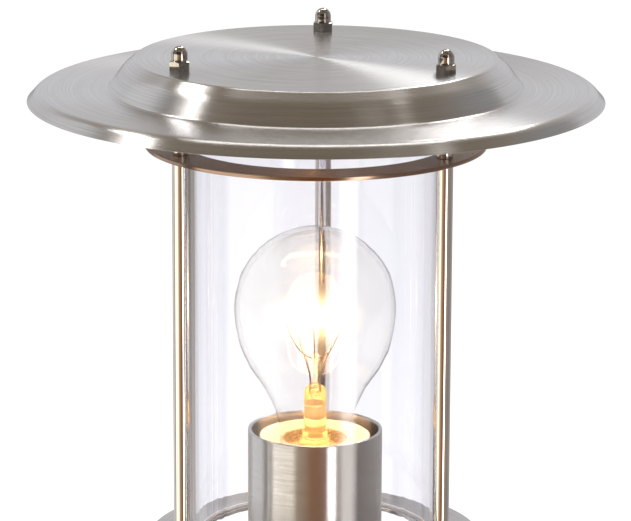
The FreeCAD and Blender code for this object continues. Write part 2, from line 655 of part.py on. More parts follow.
# ---------------------------------------------------------------- lampholder
def make_holder_bracket():
    """Turned disc inside the column that carries the lampholder on a threaded nipple."""
    body = new_body("holder_bracket", "Level.bracket_bottom")
    bore = "Size.nipple_radius + Size.slip_clearance"
    rim = "Level.column_bore - Size.bracket_clearance"
    turn(body, "bracket_disc", [(bore, "0"), (rim, "0"), (rim, "Size.bracket_thickness"),
                                (bore, "Size.bracket_thickness")])
    drill(body, "bracket_wire_hole", "Size.wire_hole_offset", "0", "Size.wire_hole_radius",
          "Size.bracket_thickness", 2)
    cross_drill(body, "bracket_cross_hole", "Size.bracket_thickness / 2",
                "Size.bracket_screw_radius + Size.slip_clearance", "Size.column_radius / 2",
                "Size.column_radius")
    screws = []
    for index, angle in enumerate(SET_SCREW_ANGLES, start=1):
        name = "bracket_screw_%d" % index
        head = cylinder(name + "_head", "Size.bracket_screw_head", "Size.bracket_screw_head_height")
        shank = cylinder(name + "_shank", "Size.bracket_screw_radius",
                         "Size.bracket_screw_length", "-Size.bracket_screw_length")
        screw = union(name, [head, shank])
        lay_at(screw, angle, "Size.column_radius + Size.slip_clearance",
               "(Level.bracket_top + Level.bracket_bottom) / 2")
        screws.append(screw)
    group("bracket_screws", screws)


def make_nipple():
    """Threaded tube between bracket and lampholder, with a nut on each side of the bracket."""
    bottom = "Level.bracket_bottom - Size.nipple_nut_height - Size.nipple_tail"
    length = "Level.holder_base_bottom + Size.nipple_engagement - (%s)" % bottom
    outer = cylinder("nipple_outer", "Size.nipple_radius", length, bottom)
    bore = cylinder("nipple_inner", "Size.nipple_bore", length, bottom)
    nipple = difference("holder_nipple", outer, bore)
    nipple.Label = "holder_nipple"
    subparts.append(nipple)
    nuts = []
    for name, level in (("lower", "Level.bracket_bottom - Size.nipple_nut_height"),
                        ("upper", "Level.bracket_top")):
        blank = hexagon_bar("nipple_nut_%s_blank" % name, "Size.nipple_nut_flats",
                            "Size.nipple_nut_height", level)
        hole = cylinder("nipple_nut_%s_bore" % name, "Size.nipple_radius + Size.slip_clearance",
                        "Size.nipple_nut_height", level)
        nuts.append(difference("nipple_nut_" + name, blank, hole))
    group("nipple_nuts", nuts)


def make_lampholder():
    """Ceramic cup and terminal base, screwed together round a plain threaded-shell liner."""
    hole = "Size.holder_screw_radius + Size.slip_clearance"
    base = new_body("lampholder_base", "Level.holder_base_bottom")
    rim, boss = "Size.holder_radius", "Size.holder_bore_radius - Size.holder_boss_clearance"
    height = "Size.holder_base_height"
    socket = "Size.nipple_radius + Size.slip_clearance"
    turn(base, "holder_base_turned", [
        ("0", "Size.nipple_engagement"), (socket, "Size.nipple_engagement"), (socket, "0"),
        (rim, "0"), (rim, height), (boss, height), (boss, height + " + Size.holder_boss_height"),
        ("0", height + " + Size.holder_boss_height")])
    drill(base, "base_wire_hole", "Size.wire_hole_offset * cos(Size.wire_hole_turn * 1 deg)",
          "Size.wire_hole_offset * sin(Size.wire_hole_turn * 1 deg)", "Size.wire_hole_radius",
          height + " + Size.holder_boss_height", 2)
    drill(base, "base_screw_hole", "0", "Size.holder_screw_offset", hole, height, 2)
    drill(base, "base_screw_sink", "0", "Size.holder_screw_offset",
          "Size.holder_screw_head + Size.slip_clearance", "Size.holder_screw_sink", 2)
    drill(base, "rivet_hole", "-Size.rivet_offset", "0", "Size.rivet_radius + Size.slip_clearance",
          "Size.rivet_depth", 1, height + " + Size.holder_boss_height - Size.rivet_depth")
    body = new_body("lampholder_body", "Level.holder_body_bottom")
    bore, top = "Size.holder_bore_radius", "Size.holder_body_height"
    turn(body, "holder_cup", [(bore, "0"), (rim, "0"), (rim, top),
                              ("Size.holder_mouth_radius", top),
                              (bore, top + " - Size.holder_mouth_depth")])
    rim_level = number(top)
    round_rims(body, "cup_rim", "Size.holder_rim_radius",
               lambda radius, centre: centre.z > rim_level - TOUCHING)
    drill(body, "cup_screw_hole", "0", "Size.holder_screw_offset", hole,
          "Size.holder_screw_length", 2)
    screws = []
    for index, angle in enumerate(HOLDER_SCREW_ANGLES, start=1):
        name = "holder_screw_%d" % index
        head = cylinder(name + "_head", "Size.holder_screw_head", "Size.holder_screw_sink")
        shank = cylinder(name + "_shank", "Size.holder_screw_radius", "Size.holder_screw_length",
                         "Size.holder_screw_sink")
        screws.append(stand_at(union(name, [head, shank]), angle, "Size.holder_screw_offset",
                               "Level.holder_base_bottom"))
    group("lampholder_screws", screws)
    liner_outer = cylinder("liner_outer", "Size.shell_bore_radius + Size.shell_wall",
                           "Size.shell_height", "Level.holder_boss_top")
    liner_bore = cylinder("liner_bore", "Size.shell_bore_radius", "Size.shell_height",
                          "Level.holder_boss_top")
    liner = difference("lampholder_shell", liner_outer, liner_bore)
    liner.Label = "lampholder_shell"
    subparts.append(liner)


def make_centre_contact():
    """Sprung leaf under the bulb's foot, guided by a headed rivet."""
    body = new_body("centre_contact", "Level.contact_rest")
    half = "Size.contact_leaf_width / 2"
    sketch = new_sketch(body, "leaf_plan", "XY_Plane")
    draw_outline(sketch, [("-Size.contact_leaf_length", "-" + half), ("0", "-" + half),
                          ("0", half), ("-Size.contact_leaf_length", half)])
    pad = body.newObject("PartDesign::Pad", "leaf")
    pad.Profile = sketch
    pad.setExpression("Length", "Size.contact_thickness")
    doc.recompute()
    turn(body, "contact_pad", [("0", "0"), ("Size.contact_radius", "0"),
                               ("Size.contact_radius", "Size.contact_thickness"),
                               ("0", "Size.contact_thickness")])
    drill(body, "leaf_hole", "-Size.rivet_offset", "0", "Size.rivet_hole_radius",
          "Size.contact_thickness")
    rivet = new_body("contact_rivet", "Level.contact_top + Size.wire_clearance")
    foot = "-(Level.contact_top + Size.wire_clearance - Level.holder_boss_top + Size.rivet_depth)"
    turn(rivet, "rivet_turned", [
        ("0", foot), ("Size.rivet_radius", foot), ("Size.rivet_radius", "0"),
        ("Size.rivet_head_radius", "0"), ("Size.rivet_head_radius", "Size.rivet_head_height"),
        ("0", "Size.rivet_head_height")])
    rivet.setExpression("Placement.Base.x", "-Size.rivet_offset")


# ---------------------------------------------------------------- bulb
def make_bulb_cap():
    """Foot contact, insulator and threaded cap of the bulb."""
    foot = new_body("bulb_foot_contact", "Level.bulb_foot")
    radius, height = "Size.foot_contact_radius", "Size.foot_contact_height"
    turn(foot, "foot_disc", [("0", "0"), (radius + " - Size.foot_contact_bevel", "0"),
                             (radius, height), ("0", height)])
    insulator = new_body("bulb_insulator", "Level.bulb_foot")
    turn(insulator, "insulator_cone", [
        ("0", height), ("Size.insulator_foot_radius", height),
        ("Size.cap_root_radius", "Level.insulator_top"), ("0", "Level.insulator_top")])
    cap = new_body("bulb_cap", "Level.bulb_foot")
    root, crest, wall = "Size.cap_root_radius", "Size.cap_radius", "Size.cap_wall"
    bottom, skirt, top = "Level.insulator_top", "Level.skirt_bottom", "Size.cap_height"
    outline = [(root + " - " + wall, bottom), (root, bottom)]
    turns = int(number("Size.thread_turns"))
    for index in range(turns):
        outline.append((crest, bottom + " + %g * Size.thread_pitch" % (index + 0.5)))
        if index < turns - 1:
            outline.append((root, bottom + " + %d * Size.thread_pitch" % (index + 1)))
    outline += [(crest, top), (crest + " - " + wall, top),
                (crest + " - " + wall, skirt), (root + " - " + wall, skirt)]
    turn(cap, "cap_section", outline)


def make_bulb_envelope():
    """Clear glass envelope: a spherical crown, a long flank arc and a reversed arc to the neck."""
    body = new_body("bulb_envelope", "Level.bulb_foot")
    centre = "(Level.bulb_length - Size.bulb_radius)"
    blend_level = "Size.neck_level"
    outline = []
    for wall in ("0", "Size.bulb_wall"):
        crown = "Size.bulb_radius - %s" % wall
        flank = "Size.bulb_flank_radius - %s" % wall
        blend = "Size.bulb_blend_radius + %s" % wall
        share = "(%s) / Level.blend_distance" % flank
        meet_across = "Level.flank_centre_offset + (%s) * Level.blend_run" % share
        meet_up = "%s - (%s) * Level.blend_drop" % (centre, share)
        neck = "Size.bulb_neck_radius - %s" % wall
        outline.append([
            ("0", "%s + %s" % (centre, crown), crown, "0", centre),
            (crown, centre, flank, "Level.flank_centre_offset", centre),
            (meet_across, meet_up, blend, "Level.blend_centre_offset", blend_level),
            (neck, blend_level), (neck, "Level.neck_bottom")])
    outer, inner = outline
    inwards = [(inner[4][0], inner[4][1]), (inner[3][0], inner[3][1]) + inner[2][2:],
               inner[2][:2] + inner[1][2:], inner[1][:2] + inner[0][2:], inner[0][:2]]
    turn(body, "envelope_section", outer + inwards)


def make_bulb_mount():
    """Glass stem, lead wires, support wires and filament inside the bulb."""
    stem = new_body("bulb_stem", "Level.bulb_foot")
    flare, tube, pinch = "Size.stem_flare_radius", "Size.stem_radius", "Size.stem_pinch_radius"
    bottom, height = "Level.neck_bottom", "Size.stem_height"
    rod, button = "Size.button_rod_radius", "Size.button_radius"
    rise = height + " + Size.button_rise"
    turn(stem, "stem_section", [
        ("0", bottom), (flare, bottom), (flare, bottom + " + Size.bulb_wall"),
        (tube, bottom + " + Size.stem_flare_height"), (tube, height + " - Size.stem_taper"),
        (pinch, height), (rod, height), (rod, rise), (button, rise + " + " + button),
        ("0", rise + " + 2 * " + button)])
    below = "(Level.bulb_foot + Size.filament_level - Size.filament_radius - Size.wire_clearance)"
    half_gap = "Size.filament_gap / 2"
    leads = []
    root_level = "Level.bulb_foot + Size.stem_height + Size.lead_radius"
    for index, side in enumerate((-1, 1), start=1):
        ring_angle = "((90 - %d * %s) * 1 deg)" % (side, half_gap)
        leads.append(straight_wire(
            "bulb_lead_%d" % index, "Size.lead_radius",
            ("%d * Size.lead_root_offset" % side, "0", root_level),
            ("Size.filament_reach * cos(%s)" % ring_angle,
             "Size.filament_reach * sin(%s)" % ring_angle, below)))
    group("bulb_leads", leads)
    supports = []
    root_reach = "(Size.button_radius + Size.wire_clearance)"
    root_level = "Level.bulb_foot + " + rise + " + " + button
    for angle in SUPPORT_WIRE_ANGLES:
        supports.append(straight_wire(
            "bulb_support_%d" % angle, "Size.support_radius",
            ("%s * cos(%d deg)" % (root_reach, angle), "%s * sin(%d deg)" % (root_reach, angle),
             root_level),
            ("Size.filament_reach * cos(%d deg)" % angle,
             "Size.filament_reach * sin(%d deg)" % angle, below)))
    group("bulb_supports", supports)
    filament = doc.addObject("Part::Torus", "bulb_filament")
    filament.Label = "bulb_filament"
    filament.setExpression("Radius1", "Size.filament_reach")
    filament.setExpression("Radius2", "Size.filament_radius")
    filament.setExpression("Angle3", "%d - Size.filament_gap" % FULL_TURN)
    filament.setExpression(
        "Placement", "placement(vector(0; 0; Level.bulb_foot + Size.filament_level);"
        " rotation(vector(0; 0; 1); 90 + %s))" % half_gap)
    subparts.append(filament)


make_base_plate()
make_column()
make_collar("base_collar", "Size.base_thickness", "Size.base_collar_height")
make_grub_screws("base_grub_screws", "Size.base_thickness + Size.base_collar_height / 2")
make_cable_grommet()
make_terminals()
make_earth_screw()
make_carrier()
carrier_collar = make_collar("carrier_collar", "Level.carrier_bottom - Size.carrier_collar_height",
                             "Size.carrier_collar_height")
drill(carrier_collar, "collar_screw_hole", "0", "Level.collar_bore + Size.collar_wall / 2",
      "Size.carrier_screw_radius + Size.slip_clearance", "Size.carrier_collar_height",
      len(ROD_ANGLES))
make_grub_screws("carrier_grub_screws", "Level.carrier_bottom - Size.carrier_collar_height / 2")
make_carrier_screws()
make_flat_ring("lower_ring", "Level.lower_ring_bottom", "Size.lower_ring_radius",
               "Size.glass_radius - Size.glass_wall - Size.lower_ring_overhang", "Size.ring_thickness")
make_flat_ring("upper_ring", "Level.upper_ring_bottom", "Size.upper_ring_radius",
               "Size.glass_radius + Size.upper_ring_clearance", "Size.ring_thickness")
make_spacers("lower_spacers", "lower_spacer", "Level.carrier_top", "Level.lower_ring_bottom")
make_spacers(None, "post", "Size.lower_ring_top", "Level.upper_ring_bottom")
make_spacers("upper_spacers", "upper_spacer", "Level.upper_ring_top", "Level.hat_ceiling")
make_tie_rods()
make_glass()
make_gaskets()
make_hat()
for rod_name, rod_angle in ROD_ANGLES.items():
    make_cap_nut(rod_name, rod_angle)
make_holder_bracket()
make_nipple()
make_lampholder()
make_centre_contact()
make_bulb_cap()
make_bulb_envelope()
make_bulb_mount()

doc.recompute()
for item in doc.Objects:
    if "Invalid" in item.State or "Error" in item.State:
        raise RuntimeError("%s failed: %s" % (item.Name, item.State))
os.makedirs("parts", exist_ok=True)
for item in subparts:
    if item.Shape.isNull() or not item.Shape.isValid():
        raise RuntimeError(item.Label + " has no valid shape")
    item.Shape.exportStep("parts/%s.step" % item.Label)
    box = item.Shape.BoundBox
    print("%-22s solids %d  x %.1f %.1f  y %.1f %.1f  z %.1f %.1f" % (
        item.Label, len(item.Shape.Solids), box.XMin, box.XMax, box.YMin, box.YMax,
        box.ZMin, box.ZMax))
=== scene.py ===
import math

import bmesh
import bpy
import numpy as np
from bpy.props import FloatProperty, FloatVectorProperty, PointerProperty
from bpy.types import Operator, Panel, PropertyGroup
from mathutils import Matrix, Quaternion, Vector


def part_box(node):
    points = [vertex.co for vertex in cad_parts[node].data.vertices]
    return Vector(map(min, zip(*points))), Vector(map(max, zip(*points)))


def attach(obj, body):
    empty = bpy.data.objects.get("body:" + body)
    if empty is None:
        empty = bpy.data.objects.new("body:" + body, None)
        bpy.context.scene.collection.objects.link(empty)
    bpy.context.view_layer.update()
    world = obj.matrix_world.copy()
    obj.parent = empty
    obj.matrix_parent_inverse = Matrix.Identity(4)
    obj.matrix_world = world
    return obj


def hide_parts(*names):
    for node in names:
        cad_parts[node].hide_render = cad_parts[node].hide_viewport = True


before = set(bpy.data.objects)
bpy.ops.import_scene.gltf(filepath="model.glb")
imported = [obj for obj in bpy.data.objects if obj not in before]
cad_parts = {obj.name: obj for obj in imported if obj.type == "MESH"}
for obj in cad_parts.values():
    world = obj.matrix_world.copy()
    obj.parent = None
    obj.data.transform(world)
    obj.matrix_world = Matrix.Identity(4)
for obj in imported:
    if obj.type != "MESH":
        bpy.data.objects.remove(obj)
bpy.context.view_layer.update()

bl_info = {
    "name": "Post lantern",
    "version": (1, 0, 0),
    "blender": (4, 5, 0),
    "location": "View3D > Sidebar > Lantern",
    "description": "Builds the visible surfaces and finishes of a stainless post lantern",
    "category": "Add Mesh",
}

ROUND = 256          # columns of points round a large turned piece
SMALL_ROUND = 48     # columns of points round a small turned piece
EASE_STEPS = 7       # points on an eased corner
SHARP = math.radians(32)
FULL = 2 * math.pi
ROD_ANGLES = {"rear": 90, "left": 210, "right": 330}
SCREW_ANGLES = (0, 120, 240)

# Small details in metres, too fine to be settings
FLAT_SHARE = 0.15        # share of a side kept straight beside a rounded corner
FLAT_LIMIT = 0.0004      # longest straight kept there
PLATE_CUT_PAST = 0.001   # how far a cutting bar runs past a plate's faces
WALL_CUT_PAST = 0.002    # how far a cutting bar runs past a tube's wall
PLAIN_EDGE = 0.0002      # easing of a turned edge that isn't handled
M4_HOLE = 0.00205        # radius of a 4 mm screw's hole
M5_HOLE = 0.00255        # radius of a 5 mm set screw's hole
COLLAR_ROOM = 0.00005    # radial room of the collars on the column


# ---------------------------------------------------------------- settings
def length(name, millimetres, description):
    """Length setting, given in millimetres and kept in metres."""
    return FloatProperty(name=name, description=description, default=millimetres / 1000,
                         min=0, precision=5, unit="LENGTH")


def colour(name, red, green, blue, description):
    """Colour setting in linear light."""
    return FloatVectorProperty(name=name, description=description, default=(red, green, blue),
                               size=3, min=0, max=1, subtype="COLOR")


class LanternSizes(PropertyGroup):
    """Shape details that the solid model leaves plain"""
    hat_top: length("Hat top radius", 65.9, "Radius of the hat's flat top")
    hat_crease: length("Hat crease radius", 76, "Radius where the flank meets the brim")
    hat_fold: length("Hat fold radius", 101.3, "Radius where the brim turns down")
    hat_dome: length("Hat rise", 11, "Height of the flat top above the brim's crease")
    brim_fall: length("Brim fall", 0.2, "How much lower the brim's crease edge is than its fold")
    hat_sheet: length("Hat sheet", 1, "Thickness of the spun sheet")
    top_bend: length("Top bend", 1.8, "Outer bend radius at the edge of the flat top")
    flank_out: length("Flank belly reach", 4.4, "How far out from the flat top the flank is fullest")
    flank_down: length("Flank belly drop", 3.5, "How far below the flat top the flank is fullest")
    flank_bend: length("Flank belly bend", 14, "Bend radius of the flank's belly")
    crease_bend: length("Crease bend", 1.8, "Outer bend radius at the crease")
    fold_bend: length("Fold bend", 5, "Outer bend radius at the fold")
    ring_edge: length("Ring edge", 0.3, "Easing of the flat rings' edges")
    rod_clearance: length("Rod hole clearance", 0.25, "Radial room round a tie rod")
    thread_pitch: length("Rod thread pitch", 0.7, "Pitch of the tie rods' threads")
    thread_depth: length("Rod thread depth", 0.32, "Depth of the tie rods' threads")
    thread_run: length("Rod thread run", 9, "Threaded length at each end of a tie rod")
    cap_pitch: length("Bulb thread pitch", 3.629, "Pitch of the bulb's screw cap")
    cap_wall: length("Bulb cap wall", 0.4, "Wall of the bulb's screw cap")
    nut_flats: length("Nut width", 7, "Width across flats of the rods' nuts")
    nut_hexagon: length("Nut hexagon height", 3.2, "Height of a cap nut's hexagon")
    dome_radius: length("Nut dome radius", 2.95, "Radius of a cap nut's dome")
    glass_wall: length("Glass wall", 3, "Wall of the glass cylinder")
    glass_edge: length("Glass edge", 0.8, "Radius of the fire-polished rims")
    bulb_radius: length("Bulb radius", 30, "Radius of the bulb's crown")
    flank_radius: length("Bulb flank radius", 45, "Radius of the bulb's flank arc")
    blend_radius: length("Bulb neck arc radius", 50, "Radius of the reversed arc to the neck")
    neck_radius: length("Bulb neck radius", 12.4, "Radius of the bulb's neck")
    bulb_wall: length("Bulb wall", 0.35, "Wall of the bulb's envelope")
    coil_radius: length("Filament coil radius", 0.46, "Radius of the filament's coil")
    coil_wire: length("Filament wire radius", 0.13, "Radius of the filament's wire")
    coil_pitch: length("Filament coil pitch", 0.75, "Distance between the coil's turns")


class LanternColours(PropertyGroup):
    """Colours of the finishes and of the light"""
    steel: colour("Steel", 0.68, 0.675, 0.685, "Brushed stainless steel")
    steel_worn: colour("Steel, handled", 0.57, 0.56, 0.555, "Handled patches of the steel")
    bright_steel: colour("Bright steel", 0.74, 0.72, 0.69, "Drawn and polished steel")
    brass: colour("Brass", 0.83, 0.62, 0.33, "Contacts and threaded shell")
    ceramic: colour("Ceramic", 0.86, 0.82, 0.74, "Glazed lampholder")
    glass: colour("Glass", 0.985, 0.985, 0.995, "Glass cylinder")
    glass_depth: colour("Glass depth", 0.77, 0.77, 0.9, "Colour that thick glass takes on")
    lamp: colour("Lamp light", 1.0, 0.58, 0.26, "Light of the bulb")
    floor: colour("Floor", 0.86, 0.86, 0.87, "Studio floor")


def sizes():
    """The scene's lengths."""
    return bpy.context.scene.lantern_sizes


def colours():
    """The scene's colours."""
    return bpy.context.scene.lantern_colours


# ---------------------------------------------------------------- surfaces
def grid_faces(rows, columns, close_rows, close_columns):
    """Four-sided faces between neighbouring points of a grid. A closed direction joins its last
    line of points to its first."""
    row = np.arange(rows if close_rows else rows - 1)[:, None]
    column = np.arange(columns if close_columns else columns - 1)[None, :]
    next_row, next_column = (row + 1) % rows, (column + 1) % columns
    corners = (row * columns + column, row * columns + next_column,
               next_row * columns + next_column, next_row * columns + column)
    return np.stack(np.broadcast_arrays(*corners), axis=-1).reshape(-1, 4)


def outward(points, faces):
    """Faces turned so that the volume they enclose, the sum of their corner triple products,
    is positive."""
    a, b, c, d = (points[faces[:, k]] for k in range(4))
    volume = np.einsum("ij,ij->", a, np.cross(b, c)) + np.einsum("ij,ij->", a, np.cross(c, d))
    return faces if volume > 0 else faces[:, ::-1]


def mesh_of(name, grids):
    """One mesh from closed grids. A grid is (points, close rows, close columns)."""
    all_points, all_faces, count = [], [], 0
    for points, close_rows, close_columns in grids:
        rows, columns = points.shape[:2]
        flat = points.reshape(-1, 3)
        faces = outward(flat, grid_faces(rows, columns, close_rows, close_columns))
        all_points.append(flat)
        all_faces.append(faces + count)
        count += len(flat)
    points, faces = np.concatenate(all_points), np.concatenate(all_faces)
    mesh = bpy.data.meshes.new(name)
    mesh.vertices.add(len(points))
    mesh.vertices.foreach_set("co", points.astype(np.float32).ravel())
    mesh.loops.add(faces.size)
    mesh.loops.foreach_set("vertex_index", faces.astype(np.int32).ravel())
    mesh.polygons.add(len(faces))
    mesh.polygons.foreach_set("loop_start", np.arange(0, faces.size, 4, dtype=np.int32))
    mesh.update(calc_edges=True)
    work = bmesh.new()
    work.from_mesh(mesh)
    bmesh.ops.remove_doubles(work, verts=work.verts, dist=1e-7)
    work.to_mesh(mesh)
    work.free()
    shade(mesh)
    return mesh


def shade(mesh):
    """Smooth shading that breaks at corners sharper than SHARP."""
    mesh.shade_smooth()
    mesh.set_sharp_from_angle(angle=SHARP)


def add_piece(name, grids, body, slot, replaced, finish=None):
    """Finished piece: its mesh, the body it rides on, its finish and the nodes it stands for.
    The finish has the slot's name unless another is given."""
    piece = bpy.data.objects.new(name, mesh_of(name, grids))
    bpy.context.scene.collection.objects.link(piece)
    piece.data.materials.append(FINISHES[finish or slot]())
    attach(piece, body)
    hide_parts(*replaced)
    return piece


def eased(corners, radii, steps=EASE_STEPS, close=True):
    """Outline with rounded corners. At a corner with radius r and half angle h the arc starts
    r / tan(h) along each side, and its centre lies r / sin(h) along the bisector. A short
    straight is kept on each side of an arc so that flat sides stay flat in the shading."""
    corner = np.asarray(corners, float)
    radius = np.broadcast_to(np.asarray(radii, float), len(corner))[:, None]
    back = np.roll(corner, 1, axis=0) - corner
    ahead = np.roll(corner, -1, axis=0) - corner
    back_length = np.linalg.norm(back, axis=1, keepdims=True)
    ahead_length = np.linalg.norm(ahead, axis=1, keepdims=True)
    back, ahead = back / back_length, ahead / ahead_length
    half = np.arccos(np.clip((back * ahead).sum(1, keepdims=True), -1, 1)) / 2
    half = np.clip(half, 1e-3, math.pi / 2 - 1e-4)
    bisector = back + ahead
    bisector = bisector / np.maximum(np.linalg.norm(bisector, axis=1, keepdims=True), 1e-9)
    centre = corner + bisector * radius / np.sin(half)
    run = radius / np.tan(half)
    first, last = corner + back * run - centre, corner + ahead * run - centre
    sweep = (math.pi - 2 * half)[:, :, None]
    share = np.linspace(0, 1, steps)[None, :, None]
    arc = (np.sin((1 - share) * sweep) * first[:, None] + np.sin(share * sweep) * last[:, None])
    arc = centre[:, None] + arc / np.sin(sweep)
    room_back = np.minimum(FLAT_SHARE * (back_length - run), FLAT_LIMIT)
    room_ahead = np.minimum(FLAT_SHARE * (ahead_length - run), FLAT_LIMIT)
    room_back = np.where(radius > 0, room_back, 0)
    room_ahead = np.where(radius > 0, room_ahead, 0)
    before = (arc[:, 0] + back * room_back)[:, None]
    after = (arc[:, -1] + ahead * room_ahead)[:, None]
    outline = np.concatenate((before, arc, after), axis=1)
    if not close:
        outline[0] = corner[0]
        outline[-1] = corner[-1]
    outline = outline.reshape(-1, 2)
    keep = np.linalg.norm(np.diff(outline, axis=0, prepend=outline[:1] - 1), axis=1) > 1e-7
    return outline[keep]


def tube_outline(bore, radius, low, high, edges):
    """Outline of a tube, ring or disc with rounded corners."""
    return eased([(bore, low), (radius, low), (radius, high), (bore, high)], edges)


def around(degrees, radius=1.0):
    """Plan point at an angle and a distance from the axis."""
    angle = math.radians(degrees)
    return radius * math.cos(angle), radius * math.sin(angle)


def round_points(radius, height, angle, centre=(0, 0)):
    """Points (x + r cos a, y + r sin a, z) round the upright line through centre."""
    return np.stack(np.broadcast_arrays(centre[0] + radius * np.cos(angle),
                                        centre[1] + radius * np.sin(angle), height), axis=-1)


def arc_points(centre, radius, start, end, steps):
    """Points (across, up) on a circle between two angles in radians."""
    angle = np.linspace(start, end, steps)
    return np.stack((centre[0] + radius * np.cos(angle), centre[1] + radius * np.sin(angle)), 1)


def turned(outline, centre=(0, 0), columns=ROUND, close=True):
    """Surface of revolution: each outline point (r, z) goes round the upright line through
    centre."""
    angle = np.linspace(0, FULL, columns, endpoint=False)[None, :]
    radius, height = outline[:, 0][:, None], outline[:, 1][:, None]
    return round_points(radius, height, angle, centre), close, True


def pipe(path, radius, sides=12):
    """Round tube along a path of points: at each point a circle in the plane across the path,
    from two axes made by crossing the tangent with the least aligned fixed direction. The ends
    close on the path itself."""
    tangent = np.gradient(path, axis=0)
    tangent /= np.linalg.norm(tangent, axis=1, keepdims=True)
    fixed = np.eye(3)[np.abs(tangent).max(axis=0).argmin()]
    across = np.cross(tangent, fixed)
    across /= np.linalg.norm(across, axis=1, keepdims=True)
    up = np.cross(tangent, across)
    angle = np.linspace(0, FULL, sides, endpoint=False)[None, :, None]
    ring = across[:, None] * np.cos(angle) + up[:, None] * np.sin(angle)
    reach = np.broadcast_to(np.asarray(radius, float), len(path))[:, None, None]
    points = path[:, None] + reach * ring
    start = np.repeat(path[:1, None], sides, axis=1)
    end = np.repeat(path[-1:, None], sides, axis=1)
    return np.concatenate((start, points, end)), False, True


def smooth_path(knots, steps=40):
    """Curve through a few points: each coordinate is a polynomial of the running share, with
    one power less than there are points."""
    knots = np.asarray(knots, float)
    run = np.linalg.norm(np.diff(knots, axis=0), axis=1).cumsum()
    at = np.concatenate(([0], run)) / run[-1]
    share = np.linspace(0, 1, steps)
    return np.stack([np.polyval(np.polyfit(at, knots[:, k], len(knots) - 1), share)
                     for k in range(3)], axis=1)


def hexagon_reach(flats, angle):
    """Distance from a hexagon's centre to its outline: half the width over flats, divided by
    the cosine of the angle from the nearest flat's middle."""
    off = (angle + math.pi / 6) % (math.pi / 3) - math.pi / 6
    return flats / 2 / np.cos(off)


def bevelled_nut(flats, bottom, top, bore, centre, bevel_bottom, cap=()):
    """Hexagon nut. Its side runs between two shallow cones, z = edge -/+ (r - inset) x slope,
    that cut its corners into arcs. cap gives the outline above the hexagon, else it is flat
    to the bore."""
    angle = np.linspace(0, FULL, 96, endpoint=False)
    reach = hexagon_reach(flats, angle)
    cone_inset = 0.00012
    inset, slope = flats / 2 - cone_inset, math.tan(math.radians(30))
    drop = np.maximum(reach - inset, 0) * slope
    low = bottom + (drop if bevel_bottom else 0 * drop)
    high = top - drop
    even = np.ones_like(angle)
    ring = [(bore * even, bottom * even), (inset * even if bevel_bottom else reach, bottom * even),
            (reach, low), (reach, high), (inset * even, top * even)]
    if len(cap):
        ring += [(r * even, z * even) for r, z in cap]
    else:
        ring.append((bore * even, top * even))
    radius = np.array([row[0] for row in ring])
    height = np.array([row[1] for row in ring])
    return round_points(radius, height, angle, centre), not len(cap), True


def cutter(radius, start, end, columns=SMALL_ROUND):
    """Closed round bar between two points, used to cut a hole."""
    start, end = Vector(start), Vector(end)
    span = (end - start).length
    bar, _, _ = turned(np.array([(0, 0), (radius, 0), (radius, span), (0, span)]), (0, 0), columns,
                       False)
    turn = Vector((0, 0, 1)).rotation_difference(end - start).to_matrix()
    points = bar.reshape(-1, 3) @ np.array(turn).T + np.array(start)
    return points.reshape(bar.shape), False, True


def plate_bars(radius, places, low, high):
    """Bars down through a plate, one at each plan point."""
    return [cutter(radius, (x, y, low - PLATE_CUT_PAST), (x, y, high + PLATE_CUT_PAST))
            for x, y in places]


def wall_bars(radius, inner, outer, level):
    """Level bars through a tube's wall, one at each screw."""
    up = Vector((0, 0, level))
    outs = [Vector((*around(degrees), 0)) for degrees in SCREW_ANGLES]
    return [cutter(radius, out * (inner - WALL_CUT_PAST) + up, out * (outer + WALL_CUT_PAST) + up)
            for out in outs]


def cut(piece, bars):
    """Take round bars out of a piece for good."""
    tool = bpy.data.objects.new("cutting_bars", mesh_of("cutting_bars", bars))
    bpy.context.scene.collection.objects.link(tool)
    modifier = piece.modifiers.new("holes", "BOOLEAN")
    modifier.operation = "DIFFERENCE"
    modifier.solver = "EXACT"
    modifier.object = tool
    graph = bpy.context.evaluated_depsgraph_get()
    result = bpy.data.meshes.new_from_object(piece.evaluated_get(graph))
    piece.modifiers.clear()
    old = piece.data
    piece.data = result
    bpy.data.meshes.remove(old)
    bpy.data.objects.remove(tool)
    result.name = piece.name
    shade(result)


# ---------------------------------------------------------------- places in the solid model
def span(node):
    """Lowest level, highest level and half width of a node that is centred on the axis."""
    low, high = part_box(node)
    return low.z, high.z, (high.x - low.x) / 2


def rod_place(name):
    """Plan position of a tie rod's centre line."""
    low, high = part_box("tie_rod_" + name)
    return (low.x + high.x) / 2, (low.y + high.y) / 2


# ---------------------------------------------------------------- finishes
def feed(tree, socket, value):
    """Put a number, colour or another node's output into a socket."""
    if isinstance(value, bpy.types.NodeSocket):
        tree.links.new(value, socket)
    else:
        socket.default_value = value


def math_node(tree, operation, *values):
    """Output of a sum over numbers or other nodes' outputs."""
    node = tree.nodes.new("ShaderNodeMath")
    node.operation = operation
    for socket, value in zip(node.inputs, values):
        feed(tree, socket, value)
    return node.outputs[0]


